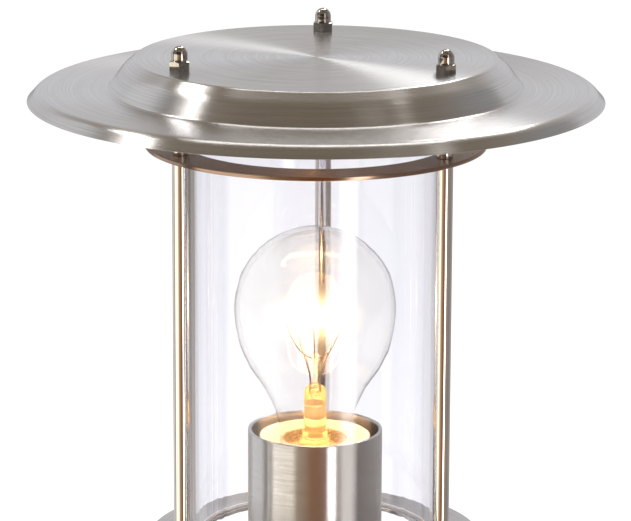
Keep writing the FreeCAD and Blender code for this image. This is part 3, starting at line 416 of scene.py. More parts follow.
class Recipe:
    """Material in the making: one surface shader and the nodes that feed it"""

    def __init__(self, name):
        self.material = bpy.data.materials.new(name)
        self.material.use_nodes = True
        self.tree = self.material.node_tree
        self.tree.nodes.clear()
        self.output = self.tree.nodes.new("ShaderNodeOutputMaterial")
        self.shader = self.tree.nodes.new("ShaderNodeBsdfPrincipled")
        self.join(self.shader.outputs[0], self.output.inputs["Surface"])
        self.place = self.tree.nodes.new("ShaderNodeTexCoord").outputs["Object"]

    def join(self, source, target):
        """Link an output to a socket."""
        self.tree.links.new(source, target)

    def feed(self, socket, value):
        """Put a number, colour or another node's output into a socket."""
        feed(self.tree, socket, value)

    def set(self, **values):
        """Set the shader's own sockets; spaces in their names are written as underscores."""
        for name, value in values.items():
            self.shader.inputs[name.replace("_", " ")].default_value = value

    def math(self, operation, *values):
        """Output of a sum over numbers or other nodes' outputs."""
        return math_node(self.tree, operation, *values)

    def parts(self, vector):
        """The three numbers of a vector."""
        node = self.tree.nodes.new("ShaderNodeSeparateXYZ")
        self.join(vector, node.inputs[0])
        return node.outputs

    def plan_radius(self, x, y):
        """Distance from the upright axis."""
        return self.math("SQRT", self.math("ADD", self.math("MULTIPLY", x, x),
                                           self.math("MULTIPLY", y, y)))

    def vector(self, *values):
        """Vector of three numbers."""
        node = self.tree.nodes.new("ShaderNodeCombineXYZ")
        for socket, value in zip(node.inputs, values):
            self.feed(socket, value)
        return node.outputs[0]

    def moved(self, offset=(0, 0, 0), scale=(1, 1, 1)):
        """Object coordinates measured from another centre, then stretched."""
        node = self.tree.nodes.new("ShaderNodeMapping")
        self.join(self.place, node.inputs["Vector"])
        node.inputs["Location"].default_value = [-o * s for o, s in zip(offset, scale)]
        node.inputs["Scale"].default_value = scale
        return node.outputs[0]

    def noise(self, vector, scale, detail=2.0, roughness=0.5):
        """Cloudy pattern round one half."""
        node = self.tree.nodes.new("ShaderNodeTexNoise")
        self.join(vector, node.inputs["Vector"])
        node.inputs["Scale"].default_value = scale
        node.inputs["Detail"].default_value = detail
        node.inputs["Roughness"].default_value = roughness
        return node.outputs["Fac"]

    def spots(self, scale):
        """Distance from the nearest of many scattered points."""
        node = self.tree.nodes.new("ShaderNodeTexVoronoi")
        self.join(self.place, node.inputs["Vector"])
        node.inputs["Scale"].default_value = scale
        return node.outputs["Distance"]

    def range(self, value, low, high, out_low, out_high):
        """Value between low and high spread over another range and held at its ends."""
        node = self.tree.nodes.new("ShaderNodeMapRange")
        for socket, number in zip(node.inputs, (value, low, high, out_low, out_high)):
            self.feed(socket, number)
        return node.outputs[0]

    def blend(self, share, first, second):
        """Colour between two colours."""
        node = self.tree.nodes.new("ShaderNodeMix")
        node.data_type = "RGBA"
        self.feed(node.inputs["Factor"], share)
        for name, value in (("A", first), ("B", second)):
            socket = next(s for s in node.inputs if s.name == name and s.type == "RGBA")
            self.feed(socket, value if isinstance(value, bpy.types.NodeSocket) else (*value, 1))
        return next(s for s in node.outputs if s.type == "RGBA")

    def bump(self, height, depth, strength=1.0, under=None):
        """Relief of a given depth in metres, laid over an earlier relief."""
        node = self.tree.nodes.new("ShaderNodeBump")
        node.inputs["Strength"].default_value = strength
        node.inputs["Distance"].default_value = depth
        self.join(height, node.inputs["Height"])
        if under is not None:
            self.join(under, node.inputs["Normal"])
        self.join(node.outputs[0], self.shader.inputs["Normal"])
        return node.outputs[0]

    def paint(self, share, first, second):
        """Base colour between two colours."""
        self.join(self.blend(share, first, second), self.shader.inputs["Base Color"])

    def gloss(self, share, low, high):
        """Roughness between two values."""
        self.join(self.range(share, 0.3, 0.7, low, high), self.shader.inputs["Roughness"])

    def round_lines(self, across, along):
        """Fine lines that run round the upright axis: noise over (r - z) x across and the plan
        direction x along."""
        x, y, z = self.parts(self.place)
        radius = self.plan_radius(x, y)
        reach = self.math("MAXIMUM", radius, 0.0005)
        track = self.math("MULTIPLY", self.math("SUBTRACT", radius, z), across)
        return self.vector(track, self.math("MULTIPLY", self.math("DIVIDE", x, reach), along),
                           self.math("MULTIPLY", self.math("DIVIDE", y, reach), along))

    def brush_round(self, anisotropy):
        """Stretch highlights across lines that run round the axis."""
        node = self.tree.nodes.new("ShaderNodeTangent")
        node.direction_type = "RADIAL"
        node.axis = "Z"
        self.join(node.outputs[0], self.shader.inputs["Tangent"])
        self.set(Anisotropic=anisotropy, Anisotropic_Rotation=0.25)


def kept(make):
    """Make a finish once and use it again."""
    made = []

    def finish():
        """The finish's material."""
        if not made:
            recipe = Recipe("lantern_" + make.__name__)
            make(recipe)
            made.append(recipe.material)
        return made[0]

    FINISHES[make.__name__] = finish
    return make


FINISHES = {}


def round_brushed(recipe, roughness, anisotropy, line_depth, dark, light):
    """Spun or turned steel: coarse and fine round lines over cloudy patches."""
    fine = recipe.noise(recipe.round_lines(5200, 2.5), 1, 3, 0.6)
    coarse = recipe.noise(recipe.round_lines(1700, 1.2), 1, 2, 0.6)
    clouds = recipe.noise(recipe.place, 22, 3, 0.55)
    lines = recipe.math("ADD", recipe.math("MULTIPLY", fine, 0.4),
                        recipe.math("MULTIPLY", coarse, 0.6))
    mixed = recipe.math("ADD", recipe.math("MULTIPLY", lines, 0.8),
                        recipe.math("MULTIPLY", clouds, 0.2))
    recipe.paint(recipe.range(mixed, 0.4, 0.6, 0, 1), dark, light)
    recipe.gloss(mixed, roughness * 1.18, roughness * 0.85)
    recipe.bump(lines, line_depth)
    recipe.set(Metallic=1.0)
    recipe.brush_round(anisotropy)


@kept
def brushed_steel(recipe):
    """Brushed stainless steel of the spun, turned and flat parts."""
    round_brushed(recipe, 0.23, 0.9, 1.7e-6, colours().steel_worn, colours().steel)


@kept
def painted_reflection_steel(recipe):
    """Brushed steel in darker, warmer tones: a painted reflection of the lamp-lit hat underside,
    used on the upper ring.
    """
    round_brushed(recipe, 0.24, 0.85, 1.6e-6, (0.3, 0.2, 0.15), (0.42, 0.3, 0.235))


@kept
def polished_steel(recipe):
    """Drawn tube: faint lines along its length and a soft mirror."""
    tones = colours()
    lines = recipe.noise(recipe.moved(scale=(2600, 2600, 14)), 1, 2, 0.5)
    clouds = recipe.noise(recipe.place, 60, 2)
    recipe.paint(recipe.range(clouds, 0.35, 0.65, 0, 1), tones.bright_steel, tones.steel)
    recipe.gloss(lines, 0.07, 0.12)
    recipe.bump(lines, 1.2e-6)
    recipe.set(Metallic=1.0)


@kept
def polished_nut(recipe):
    """Plated nut: a dark mirror with light polishing swirls."""
    swirl = recipe.noise(recipe.place, 900, 3)
    recipe.paint(recipe.range(swirl, 0.3, 0.7, 0, 1), (0.42, 0.39, 0.36), (0.6, 0.57, 0.54))
    recipe.gloss(swirl, 0.05, 0.13)
    recipe.bump(swirl, 3e-6)
    recipe.set(Metallic=1.0)


def grainy_metal(recipe, light, dark, roughness, grain, depth):
    """Plain metal part: cloudy tone, fine grain and scattered small marks."""
    clouds = recipe.noise(recipe.place, 130, 3, 0.6)
    fine = recipe.noise(recipe.place, grain, 3, 0.6)
    recipe.paint(recipe.range(clouds, 0.35, 0.65, 0, 1), dark, light)
    recipe.gloss(fine, roughness * 0.8, roughness * 1.25)
    recipe.bump(fine, depth)
    recipe.set(Metallic=1.0)


@kept
def fastener_steel(recipe):
    """Stainless rods, nuts and screws."""
    tones = colours()
    grainy_metal(recipe, tones.bright_steel, tones.steel_worn, 0.28, 2400, 8e-6)


@kept
def zinc_steel(recipe):
    """Bluish zinc plating on the hidden brackets."""
    grainy_metal(recipe, (0.62, 0.63, 0.62), (0.47, 0.49, 0.52), 0.42, 900, 2e-5)


@kept
def cast_aluminium(recipe):
    """Dull cast collars."""
    grainy_metal(recipe, (0.72, 0.72, 0.71), (0.55, 0.55, 0.55), 0.48, 1500, 4e-5)


@kept
def plated_brass(recipe):
    """Pressed brass liner."""
    grainy_metal(recipe, colours().brass, (0.62, 0.44, 0.22), 0.3, 1600, 1e-5)


@kept
def contact_brass(recipe):
    """Springy brass contact."""
    grainy_metal(recipe, colours().brass, (0.7, 0.5, 0.25), 0.24, 2200, 8e-6)


@kept
def solder_tin(recipe):
    """Lumpy solder of the bulb's foot."""
    grainy_metal(recipe, (0.7, 0.69, 0.66), (0.5, 0.49, 0.47), 0.38, 700, 4e-5)


@kept
def bulb_aluminium(recipe):
    """Pressed sheet, with cream cement on the inside of the cap; the cement carries a painted orange
    glow for the filament's light falling on it.
    """
    grainy_metal(recipe, (0.8, 0.79, 0.76), (0.66, 0.64, 0.6), 0.26, 1300, 8e-6)
    cement_radius, metal_radius = 0.01262, 0.01275
    x, y, _ = recipe.parts(recipe.place)
    metal = recipe.range(recipe.plan_radius(x, y), cement_radius, metal_radius, 0, 1)
    tone = recipe.shader.inputs["Base Color"].links[0].from_socket
    recipe.join(recipe.blend(metal, (0.85, 0.72, 0.5), tone), recipe.shader.inputs["Base Color"])
    recipe.join(metal, recipe.shader.inputs["Metallic"])
    # Painted light: the cement shines orange, standing in for the lamp's light on it.
    recipe.join(recipe.blend(metal, (1.0, 0.45, 0.12), (0, 0, 0)),
                recipe.shader.inputs["Emission Color"])
    recipe.set(Emission_Strength=1.1)


@kept
def lead_wire(recipe):
    """Dull wires inside the bulb."""
    grainy_metal(recipe, (0.4, 0.3, 0.22), (0.22, 0.16, 0.12), 0.35, 3000, 4e-6)


@kept
def clear_glass(recipe):
    """Drawn glass tube: long faint ripples, a trace of handling and a cool depth."""
    tones = colours()
    ripple = recipe.noise(recipe.moved(scale=(95, 95, 2.5)), 1, 2, 0.5)
    haze = recipe.noise(recipe.place, 34, 3, 0.6)
    recipe.paint(recipe.range(haze, 0.3, 0.7, 0, 1), tones.glass, (0.965, 0.965, 0.98))
    recipe.bump(ripple, 0.0002, 0.6)
    recipe.set(Roughness=0.0, IOR=1.5, Transmission_Weight=1.0)
    depth = recipe.tree.nodes.new("ShaderNodeVolumeAbsorption")
    depth.inputs["Color"].default_value = (*tones.glass_depth, 1)
    depth.inputs["Density"].default_value = 42.0
    recipe.join(depth.outputs[0], recipe.output.inputs["Volume"])


@kept
def bulb_glass(recipe):
    """Blown lamp glass: very clear, with slow ripples from the mould."""
    ripple = recipe.noise(recipe.moved(scale=(40, 40, 18)), 1, 2, 0.5)
    haze = recipe.noise(recipe.place, 50, 3, 0.6)
    recipe.paint(recipe.range(haze, 0.3, 0.7, 0, 1), (1.0, 0.995, 0.985), (0.985, 0.975, 0.955))
    recipe.bump(ripple, 0.0003, 0.5)
    recipe.set(Roughness=0.0, IOR=1.33, Transmission_Weight=1.0)


@kept
def stem_glass(recipe):
    """Thick lamp glass, warm-tinted, with a painted orange glow standing in for the filament's light
    it catches.
    """
    streak = recipe.noise(recipe.moved(scale=(300, 300, 60)), 1, 3, 0.6)
    recipe.paint(recipe.range(streak, 0.3, 0.7, 0, 1), (1.0, 0.86, 0.6), (1.0, 0.93, 0.78))
    recipe.bump(streak, 0.0004, 0.7)
    # Painted glow: the stem shines orange, standing in for the filament's light caught in the glass.
    glow = recipe.blend(recipe.range(streak, 0.35, 0.65, 0, 1), (0.45, 0.14, 0.01),
                        (1.0, 0.5, 0.12))
    recipe.join(glow, recipe.shader.inputs["Emission Color"])
    recipe.set(Roughness=0.06, IOR=1.5, Transmission_Weight=0.95, Emission_Strength=0.26)


@kept
def clear_silicone(recipe):
    """Soft clear gasket: milky, with moulding grain."""
    grain = recipe.noise(recipe.place, 1200, 2)
    milk = recipe.noise(recipe.place, 90, 3)
    recipe.paint(recipe.range(milk, 0.3, 0.7, 0, 1), (0.9, 0.9, 0.92), (0.8, 0.8, 0.83))
    recipe.gloss(grain, 0.25, 0.4)
    recipe.bump(grain, 0.00002)
    recipe.set(IOR=1.41, Transmission_Weight=0.75)


def moulded(recipe, light, dark, low, high, grain, depth, **sockets):
    """Moulded part: slow tone changes, moulding grain and scattered scuffs."""
    tone = recipe.noise(recipe.place, 75, 3, 0.6)
    fine = recipe.noise(recipe.place, grain, 3, 0.6)
    scuff = recipe.noise(recipe.moved(scale=(60, 420, 90)), 1, 4, 0.7)
    share = recipe.math("ADD", recipe.math("MULTIPLY", tone, 0.7),
                        recipe.math("MULTIPLY", scuff, 0.3))
    recipe.paint(recipe.range(share, 0.35, 0.65, 0, 1), dark, light)
    recipe.gloss(fine, low, high)
    recipe.bump(fine, depth)
    recipe.set(**sockets)


@kept
def black_rubber(recipe):
    """Matt rubber of the cable grommet."""
    moulded(recipe, (0.03, 0.03, 0.032), (0.016, 0.016, 0.017), 0.5, 0.75, 1800, 0.00004)


@kept
def white_nylon(recipe):
    """Milky nylon of the connector block."""
    moulded(recipe, (0.8, 0.79, 0.76), (0.7, 0.69, 0.65), 0.38, 0.55, 1400, 0.00003,
            Subsurface_Weight=0.08, Subsurface_Scale=0.002)


@kept
def white_ceramic(recipe):
    """Glazed porcelain: orange-peel glaze over a body with fine iron specks."""
    tones = colours()
    glaze = recipe.noise(recipe.place, 260, 2)
    speck = recipe.range(recipe.spots(1300), 0.02, 0.09, 0.55, 1)
    cloud = recipe.noise(recipe.place, 60, 3)
    share = recipe.math("MULTIPLY", speck, recipe.range(cloud, 0.3, 0.7, 0.8, 1))
    recipe.paint(share, (0.6, 0.5, 0.38), tones.ceramic)
    recipe.gloss(glaze, 0.16, 0.3)
    recipe.bump(glaze, 0.00005, 0.5)
    recipe.set(Coat_Weight=0.4, Coat_Roughness=0.08, Specular_IOR_Level=0.5)


@kept
def black_vitrite(recipe):
    """Black glass of the bulb's insulator."""
    moulded(recipe, (0.02, 0.018, 0.022), (0.008, 0.008, 0.01), 0.08, 0.2, 700, 0.00003)


@kept
def tungsten(recipe):
    """Glowing coil whose heat varies a little at random along it."""
    glow = recipe.noise(recipe.place, 240, 2)
    recipe.paint(glow, (0.35, 0.33, 0.3), (0.25, 0.24, 0.22))
    recipe.gloss(glow, 0.3, 0.45)
    heat = recipe.blend(recipe.range(glow, 0.3, 0.7, 0, 1), (1.0, 0.72, 0.36), (1.0, 0.82, 0.5))
    recipe.join(heat, recipe.shader.inputs["Emission Color"])
    recipe.set(Metallic=1.0, Emission_Strength=220.0)
    recipe.material.cycles.emission_sampling = "NONE"


def finish_node(node, slot):
    """Give a node of the solid model its finish."""
    part = bpy.data.objects[node]
    part.data.materials.clear()
    part.data.materials.append(FINISHES[slot]())


# ---------------------------------------------------------------- pieces
class LANTERN_OT_hat(Operator):
    """Spun hat with its bends and rod holes"""
    bl_idname = "lantern.hat"
    bl_label = "Hat"

    def execute(self, context):
        size = sizes()
        low, high, reach = span("hat")
        crease, fold = high - size.hat_dome, high - size.hat_dome - size.brim_fall
        outer = eased([(0, high), (size.hat_top, high),
                       (size.hat_top + size.flank_out, high - size.flank_down),
                       (size.hat_crease, crease), (size.hat_fold, fold), (reach, low)],
                      [0, size.top_bend, size.flank_bend, size.crease_bend, size.fold_bend, 0],
                      14, False)
        sheet = size.hat_sheet
        run = np.gradient(outer, axis=0)
        run /= np.linalg.norm(run, axis=1, keepdims=True)
        inner = outer + sheet * np.stack((run[:, 1], -run[:, 0]), axis=1)
        inner[0] = (0, high - sheet)
        ease = sheet / 12
        inner = inner[inner[:, 1] > low + ease]
        rim = [(reach, low + ease), (reach - ease, low), (inner[-1][0] + ease, low)]
        outline = np.concatenate((outer[:-1], rim, inner[::-1]))
        hat = add_piece("hat_shell", [turned(outline, close=False)], "hat", "brushed_steel",
                        ["hat"])
        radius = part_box("tie_rod_rear")[1].x + size.rod_clearance
        bars = []
        for name in ROD_ANGLES:
            x, y = rod_place(name)
            bars.append(cutter(radius, (x, y, high - 4 * sheet), (x, y, high + sheet)))
        cut(hat, bars)
        low, high, reach = span("hat_gasket")
        gasket_overhang, gasket_edge = 0.001, 0.0005
        bore = span("glass_cylinder")[2] - size.glass_wall - gasket_overhang
        outline = tube_outline(bore, reach, low, high, gasket_edge)
        add_piece("hat_gasket_ring", [turned(outline)], "hat", "clear_silicone", ["hat_gasket"])
        return {"FINISHED"}


class LANTERN_OT_cap_nuts(Operator):
    """Three acorn nuts on the hat"""
    bl_idname = "lantern.cap_nuts"
    bl_label = "Cap nuts"

    def execute(self, context):
        size = sizes()
        rod_room, rod_end_room = 0.00006, 0.0004
        rod_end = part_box("tie_rod_rear")[1]
        bore, bore_top = rod_end.x + rod_room, rod_end.z + rod_end_room
        for name in ROD_ANGLES:
            low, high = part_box("cap_nut_" + name)
            centre = rod_place(name)
            shoulder = high.z - size.dome_radius
            dome = arc_points((0, shoulder), size.dome_radius, 0, math.pi / 2, 20)
            neck = low.z + size.nut_hexagon
            cap = [(size.dome_radius + 0.00025, neck), (size.dome_radius + 0.00006, neck + 0.0001),
                   (size.dome_radius, neck + 0.0004), *dome]
            points, _, _ = bevelled_nut(size.nut_flats, low.z, neck, bore, centre, False, cap)
            ceiling = np.array([[(centre[0], centre[1], bore_top)] * points.shape[1]])
            wall = points[:1].copy()
            wall[..., 2] = bore_top
            points = np.concatenate((ceiling, wall, points))
            add_piece("cap_nut_%s_shell" % name, [(points, False, True)], "nut_" + name,
                      "polished_nut", ["cap_nut_" + name])
        return {"FINISHED"}


class LANTERN_OT_posts(Operator):
    """Spacer tubes over the tie rods"""
    bl_idname = "lantern.posts"
    bl_label = "Posts"

    def tube(self, centre, low, high, radius, bore):
        """Tube with lightly broken edges."""
        broken_edge = 0.00025
        return turned(tube_outline(bore, radius, low, high, broken_edge), centre, 64)

    def execute(self, context):
        low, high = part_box("post_rear")
        radius = (high.x - low.x) / 2
        rod_room = 0.00015
        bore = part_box("tie_rod_rear")[1].x + rod_room
        for name in ROD_ANGLES:
            add_piece("post_%s_tube" % name,
                      [self.tube(rod_place(name), low.z, high.z, radius, bore)],
                      "stand", "polished_steel", ["post_" + name])
        for group in ("upper_spacers", "lower_spacers"):
            low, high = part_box(group)
            tubes = [self.tube(rod_place(name), low.z, high.z, radius, bore) for name in ROD_ANGLES]
            add_piece(group + "_tubes", tubes, "stand", "polished_steel", [group])
        return {"FINISHED"}


class LANTERN_OT_rings(Operator):
    """Flat upper and lower rings"""
    bl_idname = "lantern.rings"
    bl_label = "Rings"

    def execute(self, context):
        size = sizes()
        glass = span("glass_cylinder")[2]
        glass_room, glass_ledge = 0.0012, 0.0008
        holes = {"upper_ring": glass + glass_room,
                 "lower_ring": glass - size.glass_wall - glass_ledge}
        # The upper ring's finish carries a painted warm reflection of the lamp-lit hat underside.
        finishes = {"upper_ring": "painted_reflection_steel", "lower_ring": "brushed_steel"}
        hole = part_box("tie_rod_rear")[1].x + size.rod_clearance
        for node, bore in holes.items():
            low, high, reach = span(node)
            outline = tube_outline(bore, reach, low, high, size.ring_edge)
            ring = add_piece(node + "_plate", [turned(outline)], "stand", "brushed_steel", [node],
                             finishes[node])
            cut(ring, plate_bars(hole, [rod_place(name) for name in ROD_ANGLES], low, high))
        return {"FINISHED"}


class LANTERN_OT_glass(Operator):
    """Glass cylinder with fire-polished rims, and its seat gasket"""
    bl_idname = "lantern.glass"
    bl_label = "Glass"

    def execute(self, context):
        size = sizes()
        low, high, reach = span("glass_cylinder")
        bore = reach - size.glass_wall
        outline = tube_outline(bore, reach, low, high, size.glass_edge)
        tube = add_piece("glass_tube", [turned(outline)], "glass", "clear_glass",
                         ["glass_cylinder"])
        tube.visible_shadow = False
        low, high, reach = span("glass_seat_gasket")
        lip_room, lip_wall, seat_depth = 0.00005, 0.0005, 0.0006
        lip = bore - lip_room
        outline = eased([(lip - lip_wall, low), (reach, low), (reach, low + seat_depth),
                         (lip, low + seat_depth), (lip, high), (lip - lip_wall, high)],
                        [0.0001, 0.0002, 0.0002, 0, 0.0001, 0.0002])
        seat = add_piece("glass_seat", [turned(outline)], "stand", "clear_silicone",
                         ["glass_seat_gasket"])
        seat.visible_shadow = False
        return {"FINISHED"}


class LANTERN_OT_column(Operator):
    """Brushed column tube with its cross holes"""
    bl_idname = "lantern.column"
    bl_label = "Column"

    def execute(self, context):
        low, high, reach = span("column")
        wall, edge = 0.0015, 0.00035
        bore = reach - wall
        outline = tube_outline(bore, reach, low, high, edge)
        column = add_piece("column_tube", [turned(outline)], "stand", "brushed_steel", ["column"])
        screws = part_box("bracket_screws")
        cut(column, wall_bars(M4_HOLE, bore, reach, (screws[0].z + screws[1].z) / 2))
        return {"FINISHED"}


class LANTERN_OT_base(Operator):
    """Base plate, carrier plate and the two clamping collars"""
    bl_idname = "lantern.base"
    bl_label = "Base and collars"

    def disc(self, node, bore, bevel, holes):
        """Flat disc with a bevelled upper edge. holes are (radius, plan points)."""
        low, high, reach = span(node)
        outline = tube_outline(bore, reach, low, high,
                               [PLAIN_EDGE, PLAIN_EDGE, bevel, PLAIN_EDGE])
        plate = add_piece(node + "_disc", [turned(outline)], "stand", "brushed_steel", [node])
        cut(plate, [bar for radius, places in holes
                    for bar in plate_bars(radius, places, low, high)])

    def collar(self, node, sleeve, screws):
        """Clamping ring with three set-screw holes and upright holes for screws."""
        low, high, reach = span(node)
        lower_edge, upper_edge = 0.0006, 0.0009
        outline = tube_outline(sleeve, reach, low, high,
                               [PLAIN_EDGE, lower_edge, upper_edge, PLAIN_EDGE])
        collar = add_piece(node + "_ring", [turned(outline)], "stand", "cast_aluminium", [node])
        bars = wall_bars(M5_HOLE, sleeve, reach, (low + high) / 2)
        cut(collar, bars + plate_bars(M4_HOLE, screws, low, high))

    def execute(self, context):
        size = sizes()
        sleeve = span("column")[2] + COLLAR_ROOM
        angles = ROD_ANGLES.values()
        anchor_hole, anchor_circle, cable_hole, base_bevel = 0.0035, 0.056, 0.009, 0.0011
        anchors = [around(degrees, anchor_circle) for degrees in angles]
        self.disc("base_plate", cable_hole, base_bevel, [(anchor_hole, anchors)])
        rod_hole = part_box("tie_rod_rear")[1].x + size.rod_clearance
        rods = [rod_place(name) for name in ROD_ANGLES]
        screw_inset, carrier_bevel = 0.0035, 0.0003
        screws = [around(degrees, sleeve + screw_inset) for degrees in angles]
        self.disc("carrier_plate", sleeve, carrier_bevel, [(rod_hole, rods), (M4_HOLE, screws)])
        self.collar("base_collar", sleeve, [])
        self.collar("carrier_collar", sleeve, screws)
        return {"FINISHED"}


class LANTERN_OT_tie_rods(Operator):
    """Tie rods threaded at both ends, and their lock nuts"""
    bl_idname = "lantern.tie_rods"
    bl_label = "Tie rods"

    def rod(self, centre, low, high, radius):
        """Rod whose radius falls by the thread depth in a V that climbs one pitch per turn."""
        size = sizes()
        step = size.thread_pitch / 8
        lower = np.arange(low, low + size.thread_run, step)
        upper = np.arange(high - size.thread_run, high, step)
        height = np.concatenate((lower, np.linspace(lower[-1] + step, upper[0] - step, 4), upper,
                                 [high]))[:, None]
        angle = np.linspace(0, FULL, 24, endpoint=False)[None, :]
        wave = np.abs((height / size.thread_pitch - angle / FULL) % 1 * 2 - 1)
        end = np.minimum(height - low, high - height)
        fade = np.clip((size.thread_run - end) / (2 * size.thread_pitch), 0, 1)
        point_taper = 0.0005
        taper = np.clip(end / size.thread_pitch, 0, 1) * point_taper - point_taper
        reach = radius - size.thread_depth * wave * fade + taper
        points = round_points(reach, height, angle, centre)
        ends = [np.repeat(np.array([[(centre[0], centre[1], z)]]), points.shape[1], axis=1)
                for z in (low, high)]
        return np.concatenate((ends[0], points, ends[1])), False, True

    def execute(self, context):
        size = sizes()
        low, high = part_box("tie_rod_rear")
        radius = (high.x - low.x) / 2
        for name in ROD_ANGLES:
            add_piece("tie_rod_%s_threaded" % name,
                      [self.rod(rod_place(name), low.z, high.z, radius)],
                      "stand", "fastener_steel", ["tie_rod_" + name])
        low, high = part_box("lock_nuts")
        nut_room = 0.00005
        nuts = [bevelled_nut(size.nut_flats, low.z, high.z, radius + nut_room, rod_place(name),
                             True) for name in ROD_ANGLES]
        add_piece("lock_nuts_hexagons", nuts, "stand", "fastener_steel", ["lock_nuts"])
        return {"FINISHED"}


class LANTERN_OT_lampholder(Operator):
    """Glazed cup and threaded liner of the lampholder"""
    bl_idname = "lantern.lampholder"
    bl_label = "Lampholder"

    def execute(self, context):
        size = sizes()
        low, high, reach = span("lampholder_body")
        bore, mouth, depth = 0.0146, 0.0189, 0.007
        outline = eased([(bore, low), (reach, low), (reach, high), (mouth, high),
                         (bore, high - depth)], [0, 0.0005, 0.0009, 0.0008, 0.0012], 10)
        cup = add_piece("lampholder_cup", [turned(outline, columns=160)], "stand",
                        "white_ceramic", ["lampholder_body"])
        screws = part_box("lampholder_screws")
        screw_head, screw_hole, screw_end_room = 0.0027, 0.00155, 0.0004
        offset = (screws[1].y - screws[0].y) / 2 - screw_head
        cut(cup, [cutter(screw_hole, (0, side * offset, low - PLATE_CUT_PAST),
                         (0, side * offset, screws[1].z + screw_end_room)) for side in (-1, 1)])
        low, high, reach = span("lampholder_shell")
        height = np.linspace(low, high, 60)[:, None]
        angle = np.linspace(0, FULL, 96, endpoint=False)[None, :]
        liner_wall, groove_depth, fade_run = 0.0007, 0.00035, 0.0015
        groove = 0.5 - 0.5 * np.cos(FULL * (height / size.cap_pitch - angle / FULL))
        fade = np.clip(np.minimum(height - low, high - height) / fade_run, 0, 1)
        inner = reach - liner_wall + groove_depth * groove * fade
        inner_points = round_points(inner, height, angle)
        outer_points = round_points(reach, height, angle)
        add_piece("lampholder_liner",
                  [(np.concatenate((inner_points, outer_points[::-1])), True, True)],
                  "stand", "plated_brass", ["lampholder_shell"])
        return {"FINISHED"}


class LANTERN_OT_bulb_cap(Operator):
    """Threaded cap, insulator and foot contact of the bulb"""
    bl_idname = "lantern.bulb_cap"
    bl_label = "Bulb cap"

    def execute(self, context):
        size = sizes()
        low, high, reach = span("bulb_cap")
        groove, fade_run, rim_run, rim_inset, turns = 0.0009, 0.0012, 0.0008, 0.0002, 4
        root, thread_top = reach - groove, low + turns * size.cap_pitch
        height = np.concatenate((np.linspace(low, thread_top, 96),
                                 np.linspace(thread_top + 0.0004, high, 10)))[:, None]
        angle = np.linspace(0, FULL, 96, endpoint=False)[None, :]
        wave = 0.5 - 0.5 * np.cos(FULL * ((height - low) / size.cap_pitch - angle / FULL))
        fade = np.clip((height - low) / fade_run, 0, 1)
        skirt = np.clip((height - thread_top + fade_run) / fade_run, 0, 1)
        outer = root + (reach - root) * np.maximum(wave * fade * (1 - skirt), skirt)
        rim = np.clip((high - height) / rim_run, 0, 1)
        outer = outer - rim_inset * (1 - rim)
        outer_points = round_points(outer, height, angle)
        inner_points = round_points(outer - size.cap_wall, height, angle)
        add_piece("bulb_cap_threaded",
                  [(np.concatenate((outer_points, inner_points[::-1])), True, True)],
                  "bulb", "bulb_aluminium", ["bulb_cap"])
        low, high, reach = span("bulb_insulator")
        outline = eased([(0, low), (0.006, low), (reach, high - 0.0005), (reach, high), (0, high)],
                        [0, 0.0006, 0.0008, 0.0001, 0], 6, False)
        add_piece("bulb_insulator_cone", [turned(outline, columns=96, close=False)], "bulb",
                  "black_vitrite", ["bulb_insulator"])
        low, high, reach = span("bulb_foot_contact")
        outline = np.array([(0, low), (0.0018, low), (0.003, low + 0.0001), (0.004, low + 0.0004),
                            (reach, low + 0.0009), (reach, high), (0, high)])
        add_piece("bulb_foot_button", [turned(outline, columns=64, close=False)], "bulb_foot",
                  "solder_tin", ["bulb_foot_contact"])
        return {"FINISHED"}


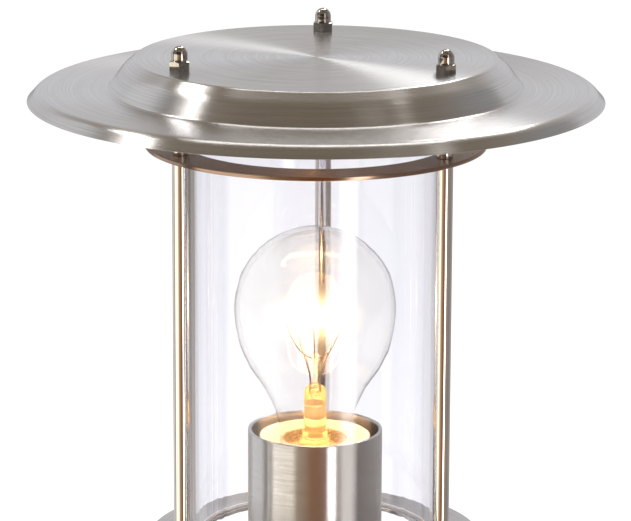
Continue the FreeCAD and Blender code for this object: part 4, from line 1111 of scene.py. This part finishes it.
class LANTERN_OT_bulb_glass(Operator):
    """Blown envelope and glass stem of the bulb"""
    bl_idname = "lantern.bulb_glass"
    bl_label = "Bulb glass"

    def side(self, wall, low, centre):
        """Outline from the apex to the neck: a crown arc to the widest level, a flank arc whose
        centre lies on that level beyond the axis, and a reversed arc that meets the neck."""
        size = sizes()
        crown, flank = size.bulb_radius - wall, size.flank_radius - wall
        blend = size.blend_radius + wall
        offset = size.bulb_radius - size.flank_radius
        run = size.neck_radius + size.blend_radius - offset
        turn = math.acos(run / (size.flank_radius + size.blend_radius))
        blend_centre = (size.neck_radius + size.blend_radius, centre
                        - (size.flank_radius + size.blend_radius) * math.sin(turn))
        return np.concatenate((
            arc_points((0, centre), crown, math.pi / 2, 0, 40),
            arc_points((offset, centre), flank, 0, -turn, 20)[1:],
            arc_points(blend_centre, blend, math.pi - turn, math.pi, 24)[1:],
            [(size.neck_radius - wall, low)]))

    def execute(self, context):
        size = sizes()
        low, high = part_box("bulb_stem")
        neck = low.z
        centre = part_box("bulb_envelope")[1].z - size.bulb_radius
        outline = np.concatenate((self.side(0, neck, centre),
                                  self.side(size.bulb_wall, neck, centre)[::-1]))
        envelope = add_piece("bulb_envelope_blown", [turned(outline, columns=160, close=False)],
                             "bulb", "bulb_glass", ["bulb_envelope"])
        envelope.visible_shadow = False
        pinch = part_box("bulb_leads")[0].z - 0.0002
        # Each row of the stem: radius, height over the neck, widening sideways and in depth
        rows = np.array([
            (0.0000, 0, 1, 1), (0.0112, 0, 1, 1), (0.0112, 0.0006, 1, 1), (0.0090, 0.0016, 1, 1),
            (0.0064, 0.0032, 1, 1), (0.0047, 0.0060, 1, 1), (0.0042, 0.0095, 1, 1),
            (0.0041, 0.0150, 1, 1), (0.0040, 0.0185, 1, 0.95), (0.0038, 0.0205, 1.05, 0.8),
            (0.0034, 0.0225, 1.15, 0.6), (0.0030, 0.0240, 1.2, 0.5)])
        top = pinch - neck
        rows[:, 1] *= (top - 0.001) / rows[-1, 1]
        button = high.z - neck
        rows = np.concatenate((rows, [
            (0.0026, top - 0.0003, 1.15, 0.5), (0.0012, top + 0.0006, 1.05, 0.9),
            (0.0010, top + 0.0016, 1, 1), (0.0009, button - 0.0045, 1, 1),
            (0.0010, button - 0.0036, 1, 1), (0.0014, button - 0.0030, 1, 1),
            (0.0017, button - 0.0018, 1, 1), (0.0014, button - 0.0007, 1, 1),
            (0.0007, button - 0.0001, 1, 1), (0.0000, button, 1, 1)]))
        fine = np.linspace(0, len(rows) - 1, 6 * len(rows))
        at = np.arange(len(rows))
        radius, height, wide, deep = (np.interp(fine, at, rows[:, k])[:, None] for k in range(4))
        angle = np.linspace(0, FULL, 64, endpoint=False)[None, :]
        points = np.stack((radius * wide * np.cos(angle), radius * deep * np.sin(angle),
                           neck + height + 0 * angle), axis=-1)
        stem = add_piece("bulb_stem_blown", [(points, False, True)], "bulb", "bulb_glass",
                         ["bulb_stem"], "stem_glass")
        stem.visible_shadow = False
        return {"FINISHED"}


class LANTERN_OT_bulb_wires(Operator):
    """Lead wires, support wires and the coiled filament"""
    bl_idname = "lantern.bulb_wires"
    bl_label = "Bulb wires"

    def execute(self, context):
        size = sizes()
        low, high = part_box("bulb_filament")
        level = (low.z + high.z) / 2
        coil_room, lead_radius, support_radius = 0.0007, 0.00035, 0.00022
        reach = (high.x - low.x) / 2 - coil_room
        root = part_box("bulb_leads")[0].z + 0.0004
        first, last = math.radians(130), math.radians(410)
        leads = []
        for side, end in ((-1, first), (1, last)):
            x, y = reach * math.cos(end), reach * math.sin(end)
            leads.append(pipe(smooth_path([
                (side * 0.0018, 0, root - 0.003), (side * 0.0021, 0.0004, root + 0.004),
                (x * 0.72, y * 0.6, level - 0.011), (x, y, level - 0.0005)]), lead_radius))
        add_piece("bulb_leads_bent", leads, "bulb", "lead_wire", ["bulb_leads"])
        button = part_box("bulb_stem")[1].z - 0.0018
        wires = []
        for degrees in (210, 270, 330):
            x, y = around(degrees)
            wires.append(pipe(smooth_path([
                (0.0013 * x, 0.0013 * y, button), (0.006 * x, 0.006 * y, button + 0.0032),
                (0.0105 * x, 0.0105 * y, level - 0.0045), (reach * x, reach * y, level + 0.0001)]),
                support_radius, 8))
        add_piece("bulb_supports_bent", wires, "bulb", "lead_wire", ["bulb_supports"])
        turns = (last - first) * reach / size.coil_pitch
        share = np.linspace(0, 1, int(turns * 12))
        angle = first + (last - first) * share
        twist = FULL * turns * share
        radius = reach + size.coil_radius * np.cos(twist)
        path = np.stack((radius * np.cos(angle), radius * np.sin(angle),
                         level + size.coil_radius * np.sin(twist)), axis=1)
        add_piece("bulb_filament_coil", [pipe(path, size.coil_wire, 6)], "bulb", "tungsten",
                  ["bulb_filament"])
        return {"FINISHED"}


class LANTERN_OT_inner_parts(Operator):
    """Finishes of the parts inside the column and of the screws"""
    bl_idname = "lantern.inner_parts"
    bl_label = "Inner parts"

    def execute(self, context):
        slots = {
            "fastener_steel": ("base_grub_screws", "carrier_grub_screws", "carrier_screws",
                               "bracket_screws", "terminal_screws", "lampholder_screws",
                               "earth_screw"),
            "zinc_steel": ("terminal_bracket", "holder_nipple", "nipple_nuts"),
            "cast_aluminium": ("holder_bracket",),
            "white_nylon": ("terminal_block",),
            "black_rubber": ("cable_grommet",),
            "white_ceramic": ("lampholder_base",),
            "contact_brass": ("centre_contact", "contact_rivet"),
        }
        for slot, nodes in slots.items():
            for node in nodes:
                finish_node(node, slot)
        return {"FINISHED"}


# ---------------------------------------------------------------- studio
HAT_LEVEL = 0.42     # level that the soft lights aim at
TURNS = 181          # columns of points along a curved screen


def aim(item, place, target):
    """Put a light or camera at a place and turn it to a target."""
    item.location = place
    item.rotation_mode = "QUATERNION"
    item.rotation_quaternion = (Vector(target) - Vector(place)).to_track_quat("-Z", "Y")


def soft_box(name, direction, width, height, brightness, tint, spin=0, distance=1.3):
    """Rectangular light of a given brightness, aimed at the hat and spun on its own axis."""
    light = bpy.data.lights.new(name, "AREA")
    light.shape = "RECTANGLE"
    light.size, light.size_y = width, height
    light.energy = brightness * math.pi * width * height
    light.color = tint
    item = bpy.data.objects.new(name, light)
    bpy.context.scene.collection.objects.link(item)
    target = Vector((0, 0, HAT_LEVEL))
    aim(item, target + Vector(direction).normalized() * distance, target)
    item.rotation_quaternion @= Quaternion((0, 0, 1), math.radians(spin))
    item.visible_camera = False
    return item


def make_floor():
    """Plain pale floor just under the base."""
    half, drop = 9.0, 0.0002
    mesh = bpy.data.meshes.new("studio_floor")
    mesh.from_pydata([(-half, -half, 0), (half, -half, 0), (half, half, 0), (-half, half, 0)], [],
                     [(0, 1, 2, 3)])
    floor = bpy.data.objects.new("studio_floor", mesh)
    floor.location.z = -drop
    bpy.context.scene.collection.objects.link(floor)
    recipe = Recipe("floor_paper")
    tone = colours().floor
    grain = recipe.noise(recipe.place, 300, 2)
    recipe.paint(recipe.range(grain, 0.3, 0.7, 0, 1), tone, [0.985 * part for part in tone])
    recipe.set(Roughness=0.9, Specular_IOR_Level=0.1)
    mesh.materials.append(recipe.material)


def mirrored_light(tree):
    """Output that is 1 for light mirrored by the outside of a piece and 0 for all other light,
    including what has gone on through the bulb."""
    path = tree.nodes.new("ShaderNodeLightPath")
    bounced = math_node(tree, "GREATER_THAN", path.outputs["Glossy Depth"], 0.5)
    outside = math_node(tree, "LESS_THAN", path.outputs["Transmission Depth"], 4.5)
    return math_node(tree, "MULTIPLY", bounced, outside)


def tone_ramp(tree, value, stops, low, high, scale=1.0):
    """Colour ramp over a value between low and high, from (value, colour) stops. Colours above
    one are divided by scale, because a ramp holds none."""
    share = tree.nodes.new("ShaderNodeMapRange")
    share.inputs["From Min"].default_value = low
    share.inputs["From Max"].default_value = high
    tree.links.new(value, share.inputs["Value"])
    ramp = tree.nodes.new("ShaderNodeValToRGB")
    tree.links.new(share.outputs[0], ramp.inputs[0])
    while len(ramp.color_ramp.elements) < len(stops):
        ramp.color_ramp.elements.new(1.0)
    for element, (position, tone) in zip(ramp.color_ramp.elements, stops):
        element.position = (position - low) / (high - low)
        element.color = (*(part / scale for part in tone), 1)
    return ramp.outputs[0]


def make_screen(name, rows, start, end, stops):
    """Curved screen round the lantern that only mirrored light sees. rows are (radius, height)
    and its tones are given by azimuth in degrees, 0 in front and growing to the right."""
    angle = np.radians(np.linspace(start, end, TURNS))[None, :]
    reach, height = (np.array([row[k] for row in rows])[:, None] for k in (0, 1))
    points = np.stack((reach * np.sin(angle), -reach * np.cos(angle), height + 0 * angle), axis=-1)
    mesh = bpy.data.meshes.new(name)
    faces = grid_faces(len(rows), TURNS, False, False)
    mesh.from_pydata(points.reshape(-1, 3).tolist(), [], faces.tolist())
    screen = bpy.data.objects.new(name, mesh)
    bpy.context.scene.collection.objects.link(screen)
    material = bpy.data.materials.new(name)
    material.use_nodes = True
    tree = material.node_tree
    tree.nodes.clear()
    output = tree.nodes.new("ShaderNodeOutputMaterial")
    place = tree.nodes.new("ShaderNodeTexCoord")
    apart = tree.nodes.new("ShaderNodeSeparateXYZ")
    tree.links.new(place.outputs["Object"], apart.inputs[0])
    front = math_node(tree, "MULTIPLY", apart.outputs[1], -1)
    turn = math_node(tree, "ARCTAN2", apart.outputs[0], front)
    strength = 6.0
    stops = [(math.radians(degrees), tone) for degrees, tone in stops]
    tones = tone_ramp(tree, turn, stops, -math.pi, math.pi, strength)
    glow = tree.nodes.new("ShaderNodeEmission")
    glow.inputs["Strength"].default_value = strength
    tree.links.new(tones, glow.inputs["Color"])
    clear = tree.nodes.new("ShaderNodeBsdfTransparent")
    mix = tree.nodes.new("ShaderNodeMixShader")
    tree.links.new(mirrored_light(tree), mix.inputs[0])
    tree.links.new(clear.outputs[0], mix.inputs[1])
    tree.links.new(glow.outputs[0], mix.inputs[2])
    tree.links.new(mix.outputs[0], output.inputs["Surface"])
    material.cycles.emission_sampling = "NONE"
    mesh.materials.append(material)
    screen.visible_camera = False
    screen.visible_shadow = False
    screen.visible_diffuse = False


def make_reflectors():
    """Low wall that the posts and the column mirror, and darker upper wall that the nuts
    mirror."""
    low = [(-180, (0.95, 0.95, 0.97)), (-96, (0.8, 0.79, 0.78)), (-90, (0.1, 0.09, 0.08)),
           (-84, (0.1, 0.09, 0.08)), (-79, (1.7, 1.58, 1.32)), (-36, (1.6, 1.46, 1.18)),
           (-26, (0.55, 0.44, 0.3)), (-12, (0.46, 0.32, 0.2)), (-4, (0.36, 0.18, 0.09)),
           (22, (0.3, 0.13, 0.06)), (28, (5.6, 5.4, 5.1)), (35, (5.6, 5.4, 5.1)),
           (40, (0.4, 0.33, 0.27)), (72, (0.34, 0.29, 0.25)), (78, (0.28, 0.245, 0.215)),
           (150, (0.5, 0.48, 0.46)), (180, (0.85, 0.85, 0.87))]
    upper = [(-180, (0.8, 0.8, 0.82)), (-110, (0.8, 0.8, 0.8)), (-95, (0.1, 0.09, 0.08)),
             (-70, (0.3, 0.28, 0.26)), (-50, (0.25, 0.22, 0.2)), (-40, (0.06, 0.05, 0.045)),
             (24, (0.06, 0.05, 0.045)), (30, (1.2, 1.15, 1.1)), (40, (1.2, 1.15, 1.1)),
             (46, (0.15, 0.13, 0.12)), (150, (0.4, 0.4, 0.4)), (180, (0.8, 0.8, 0.8))]
    make_screen("low_screen", [(0.12, 0.001), (0.75, 0.001), (0.75, 0.43)], -130, 130, low)
    make_screen("upper_screen", [(0.75, 0.43), (0.75, 1.0)], -130, 130, upper)


def make_world():
    """Soft white surroundings. Mirrored light sees a tent that is pale low down and darker and
    warmer overhead."""
    world = bpy.data.worlds.new("studio_tent")
    bpy.context.scene.world = world
    world.use_nodes = True
    world.cycles.sampling_method = "NONE"
    tree = world.node_tree
    tree.nodes.clear()
    output = tree.nodes.new("ShaderNodeOutputWorld")
    place = tree.nodes.new("ShaderNodeTexCoord")
    apart = tree.nodes.new("ShaderNodeSeparateXYZ")
    tree.links.new(place.outputs["Generated"], apart.inputs[0])
    stops = [(0.0, (0.62, 0.62, 0.64)), (0.16, (0.7, 0.695, 0.71)), (0.34, (0.68, 0.67, 0.675)),
             (0.55, (0.4, 0.36, 0.31)), (0.75, (0.24, 0.195, 0.145)), (1.0, (0.2, 0.16, 0.11))]
    tent = tree.nodes.new("ShaderNodeBackground")
    tree.links.new(tone_ramp(tree, apart.outputs[2], stops, 0, 1), tent.inputs["Color"])
    plain = tree.nodes.new("ShaderNodeBackground")
    plain.inputs["Color"].default_value = (1.0, 1.0, 1.0, 1)
    plain.inputs["Strength"].default_value = 1.2
    mix = tree.nodes.new("ShaderNodeMixShader")
    tree.links.new(mirrored_light(tree), mix.inputs[0])
    tree.links.new(plain.outputs[0], mix.inputs[1])
    tree.links.new(tent.outputs[0], mix.inputs[2])
    tree.links.new(mix.outputs[0], output.inputs["Surface"])


def make_lamp_light():
    """Warm light of the filament, which stays with the bulb."""
    low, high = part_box("bulb_filament")
    level = (low.z + high.z) / 2
    light = bpy.data.lights.new("bulb_light", "POINT")
    light.energy = 0.2
    light.shadow_soft_size = 0.01
    light.color = colours().lamp
    item = bpy.data.objects.new("bulb_light", light)
    item.location = (0, 0, level)
    bpy.context.scene.collection.objects.link(item)
    item.visible_camera = False
    item.visible_transmission = False
    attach(item, "bulb")
    # Painted flare round the filament: a bright core and a wider warm halo.
    make_glow("lamp_core", level, 0.021, 0.0125, (1.0, 0.78, 0.42), 220)
    make_glow("lamp_haze", level, 0.0268, 0.0255, (1.0, 0.52, 0.12), 9)


def make_glow(name, level, across, up, tint, brightness):
    """Painted flare round the filament, a glow that stands in for bloom: a ball of shining volume.
    With q the distance from its middle as a share of its half width, it shines as brightness x (1 -
    q) squared."""
    angle = np.linspace(math.pi / 2, -math.pi / 2, 33)
    outline = np.stack((across * np.cos(angle), level + up * np.sin(angle)), axis=1)
    ball = bpy.data.objects.new(name, mesh_of(name, [turned(outline, columns=64, close=False)]))
    bpy.context.scene.collection.objects.link(ball)
    recipe = Recipe(name)
    recipe.tree.nodes.remove(recipe.shader)
    place = recipe.moved((0, 0, level), (1 / across, 1 / across, 1 / up))
    reach = recipe.tree.nodes.new("ShaderNodeVectorMath")
    reach.operation = "LENGTH"
    recipe.join(place, reach.inputs[0])
    inside = recipe.math("MAXIMUM", recipe.math("SUBTRACT", 1.0, reach.outputs["Value"]), 0.0)
    amount = recipe.math("MULTIPLY", recipe.math("MULTIPLY", inside, inside), brightness)
    glow = recipe.tree.nodes.new("ShaderNodeEmission")
    glow.inputs["Color"].default_value = (*tint, 1)
    recipe.join(amount, glow.inputs["Strength"])
    recipe.join(glow.outputs[0], recipe.output.inputs["Volume"])
    ball.data.materials.append(recipe.material)
    ball.visible_shadow = False
    ball.visible_diffuse = False
    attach(ball, "bulb")


def make_camera():
    """Long lens a little above the hat, turned a few degrees to the lantern's right."""
    camera = bpy.data.cameras.new("view_camera")
    camera.sensor_fit = "HORIZONTAL"
    camera.sensor_width = 36
    camera.lens = 209.75
    camera.clip_start, camera.clip_end = 0.05, 50
    item = bpy.data.objects.new("view_camera", camera)
    bpy.context.scene.collection.objects.link(item)
    side, pitch, roll = math.radians(2.62), math.radians(13.79), math.radians(0.207)
    distance, height = 1.3144, 0.6784
    turn = (Matrix.Rotation(side, 4, "Z") @ Matrix.Rotation(math.pi / 2 - pitch, 4, "X")
            @ Matrix.Rotation(roll, 4, "Z"))
    place = Matrix.Translation((distance * math.sin(side), -distance * math.cos(side), height))
    item.matrix_world = place @ turn
    bpy.context.scene.camera = item


class LANTERN_OT_stage(Operator):
    """Floor, soft lights, reflecting surroundings and camera"""
    bl_idname = "lantern.stage"
    bl_label = "Studio"

    def execute(self, context):
        make_floor()
        make_world()
        make_reflectors()
        soft_box("left_box", (-0.62, 0.2, 0.75), 0.62, 0.15, 8, (1.0, 0.98, 0.95))
        soft_box("right_box", (0.52, -0.1, 0.85), 0.16, 0.16, 1.2, (1.0, 0.97, 0.93))
        soft_box("back_box", (0.2, 0.77, 0.6), 0.2, 0.5, 8, (1.0, 0.99, 0.98), 40)
        soft_box("top_box", (0.0, 0.42, 0.9), 0.9, 0.2, 5, (1.0, 0.98, 0.96))
        make_lamp_light()
        make_camera()
        context.scene.view_settings.view_transform = "Standard"
        return {"FINISHED"}


class LANTERN_PT_pieces(Panel):
    """List of the lantern's pieces in the sidebar"""
    bl_idname = "LANTERN_PT_pieces"
    bl_label = "Post lantern"
    bl_space_type = "VIEW_3D"
    bl_region_type = "UI"
    bl_category = "Lantern"

    def draw(self, context):
        for operator in OPERATORS:
            self.layout.operator(operator.bl_idname, text=operator.bl_label)


OPERATORS = (
    LANTERN_OT_hat, LANTERN_OT_cap_nuts, LANTERN_OT_posts, LANTERN_OT_rings, LANTERN_OT_glass,
    LANTERN_OT_column, LANTERN_OT_base, LANTERN_OT_tie_rods, LANTERN_OT_lampholder,
    LANTERN_OT_bulb_cap, LANTERN_OT_bulb_glass, LANTERN_OT_bulb_wires, LANTERN_OT_inner_parts,
    LANTERN_OT_stage)
CLASSES = (LanternSizes, LanternColours, *OPERATORS, LANTERN_PT_pieces)


def register():
    """Add the settings, the operators and the panel."""
    for item in CLASSES:
        bpy.utils.register_class(item)
    bpy.types.Scene.lantern_sizes = PointerProperty(type=LanternSizes)
    bpy.types.Scene.lantern_colours = PointerProperty(type=LanternColours)


def unregister():
    """Take them away again."""
    del bpy.types.Scene.lantern_colours
    del bpy.types.Scene.lantern_sizes
    for item in reversed(CLASSES):
        bpy.utils.unregister_class(item)


def main():
    """Build every piece and the studio."""
    register()
    for operator in OPERATORS:
        getattr(bpy.ops.lantern, operator.bl_idname.split(".")[1])()


if __name__ == "__main__":
    main()
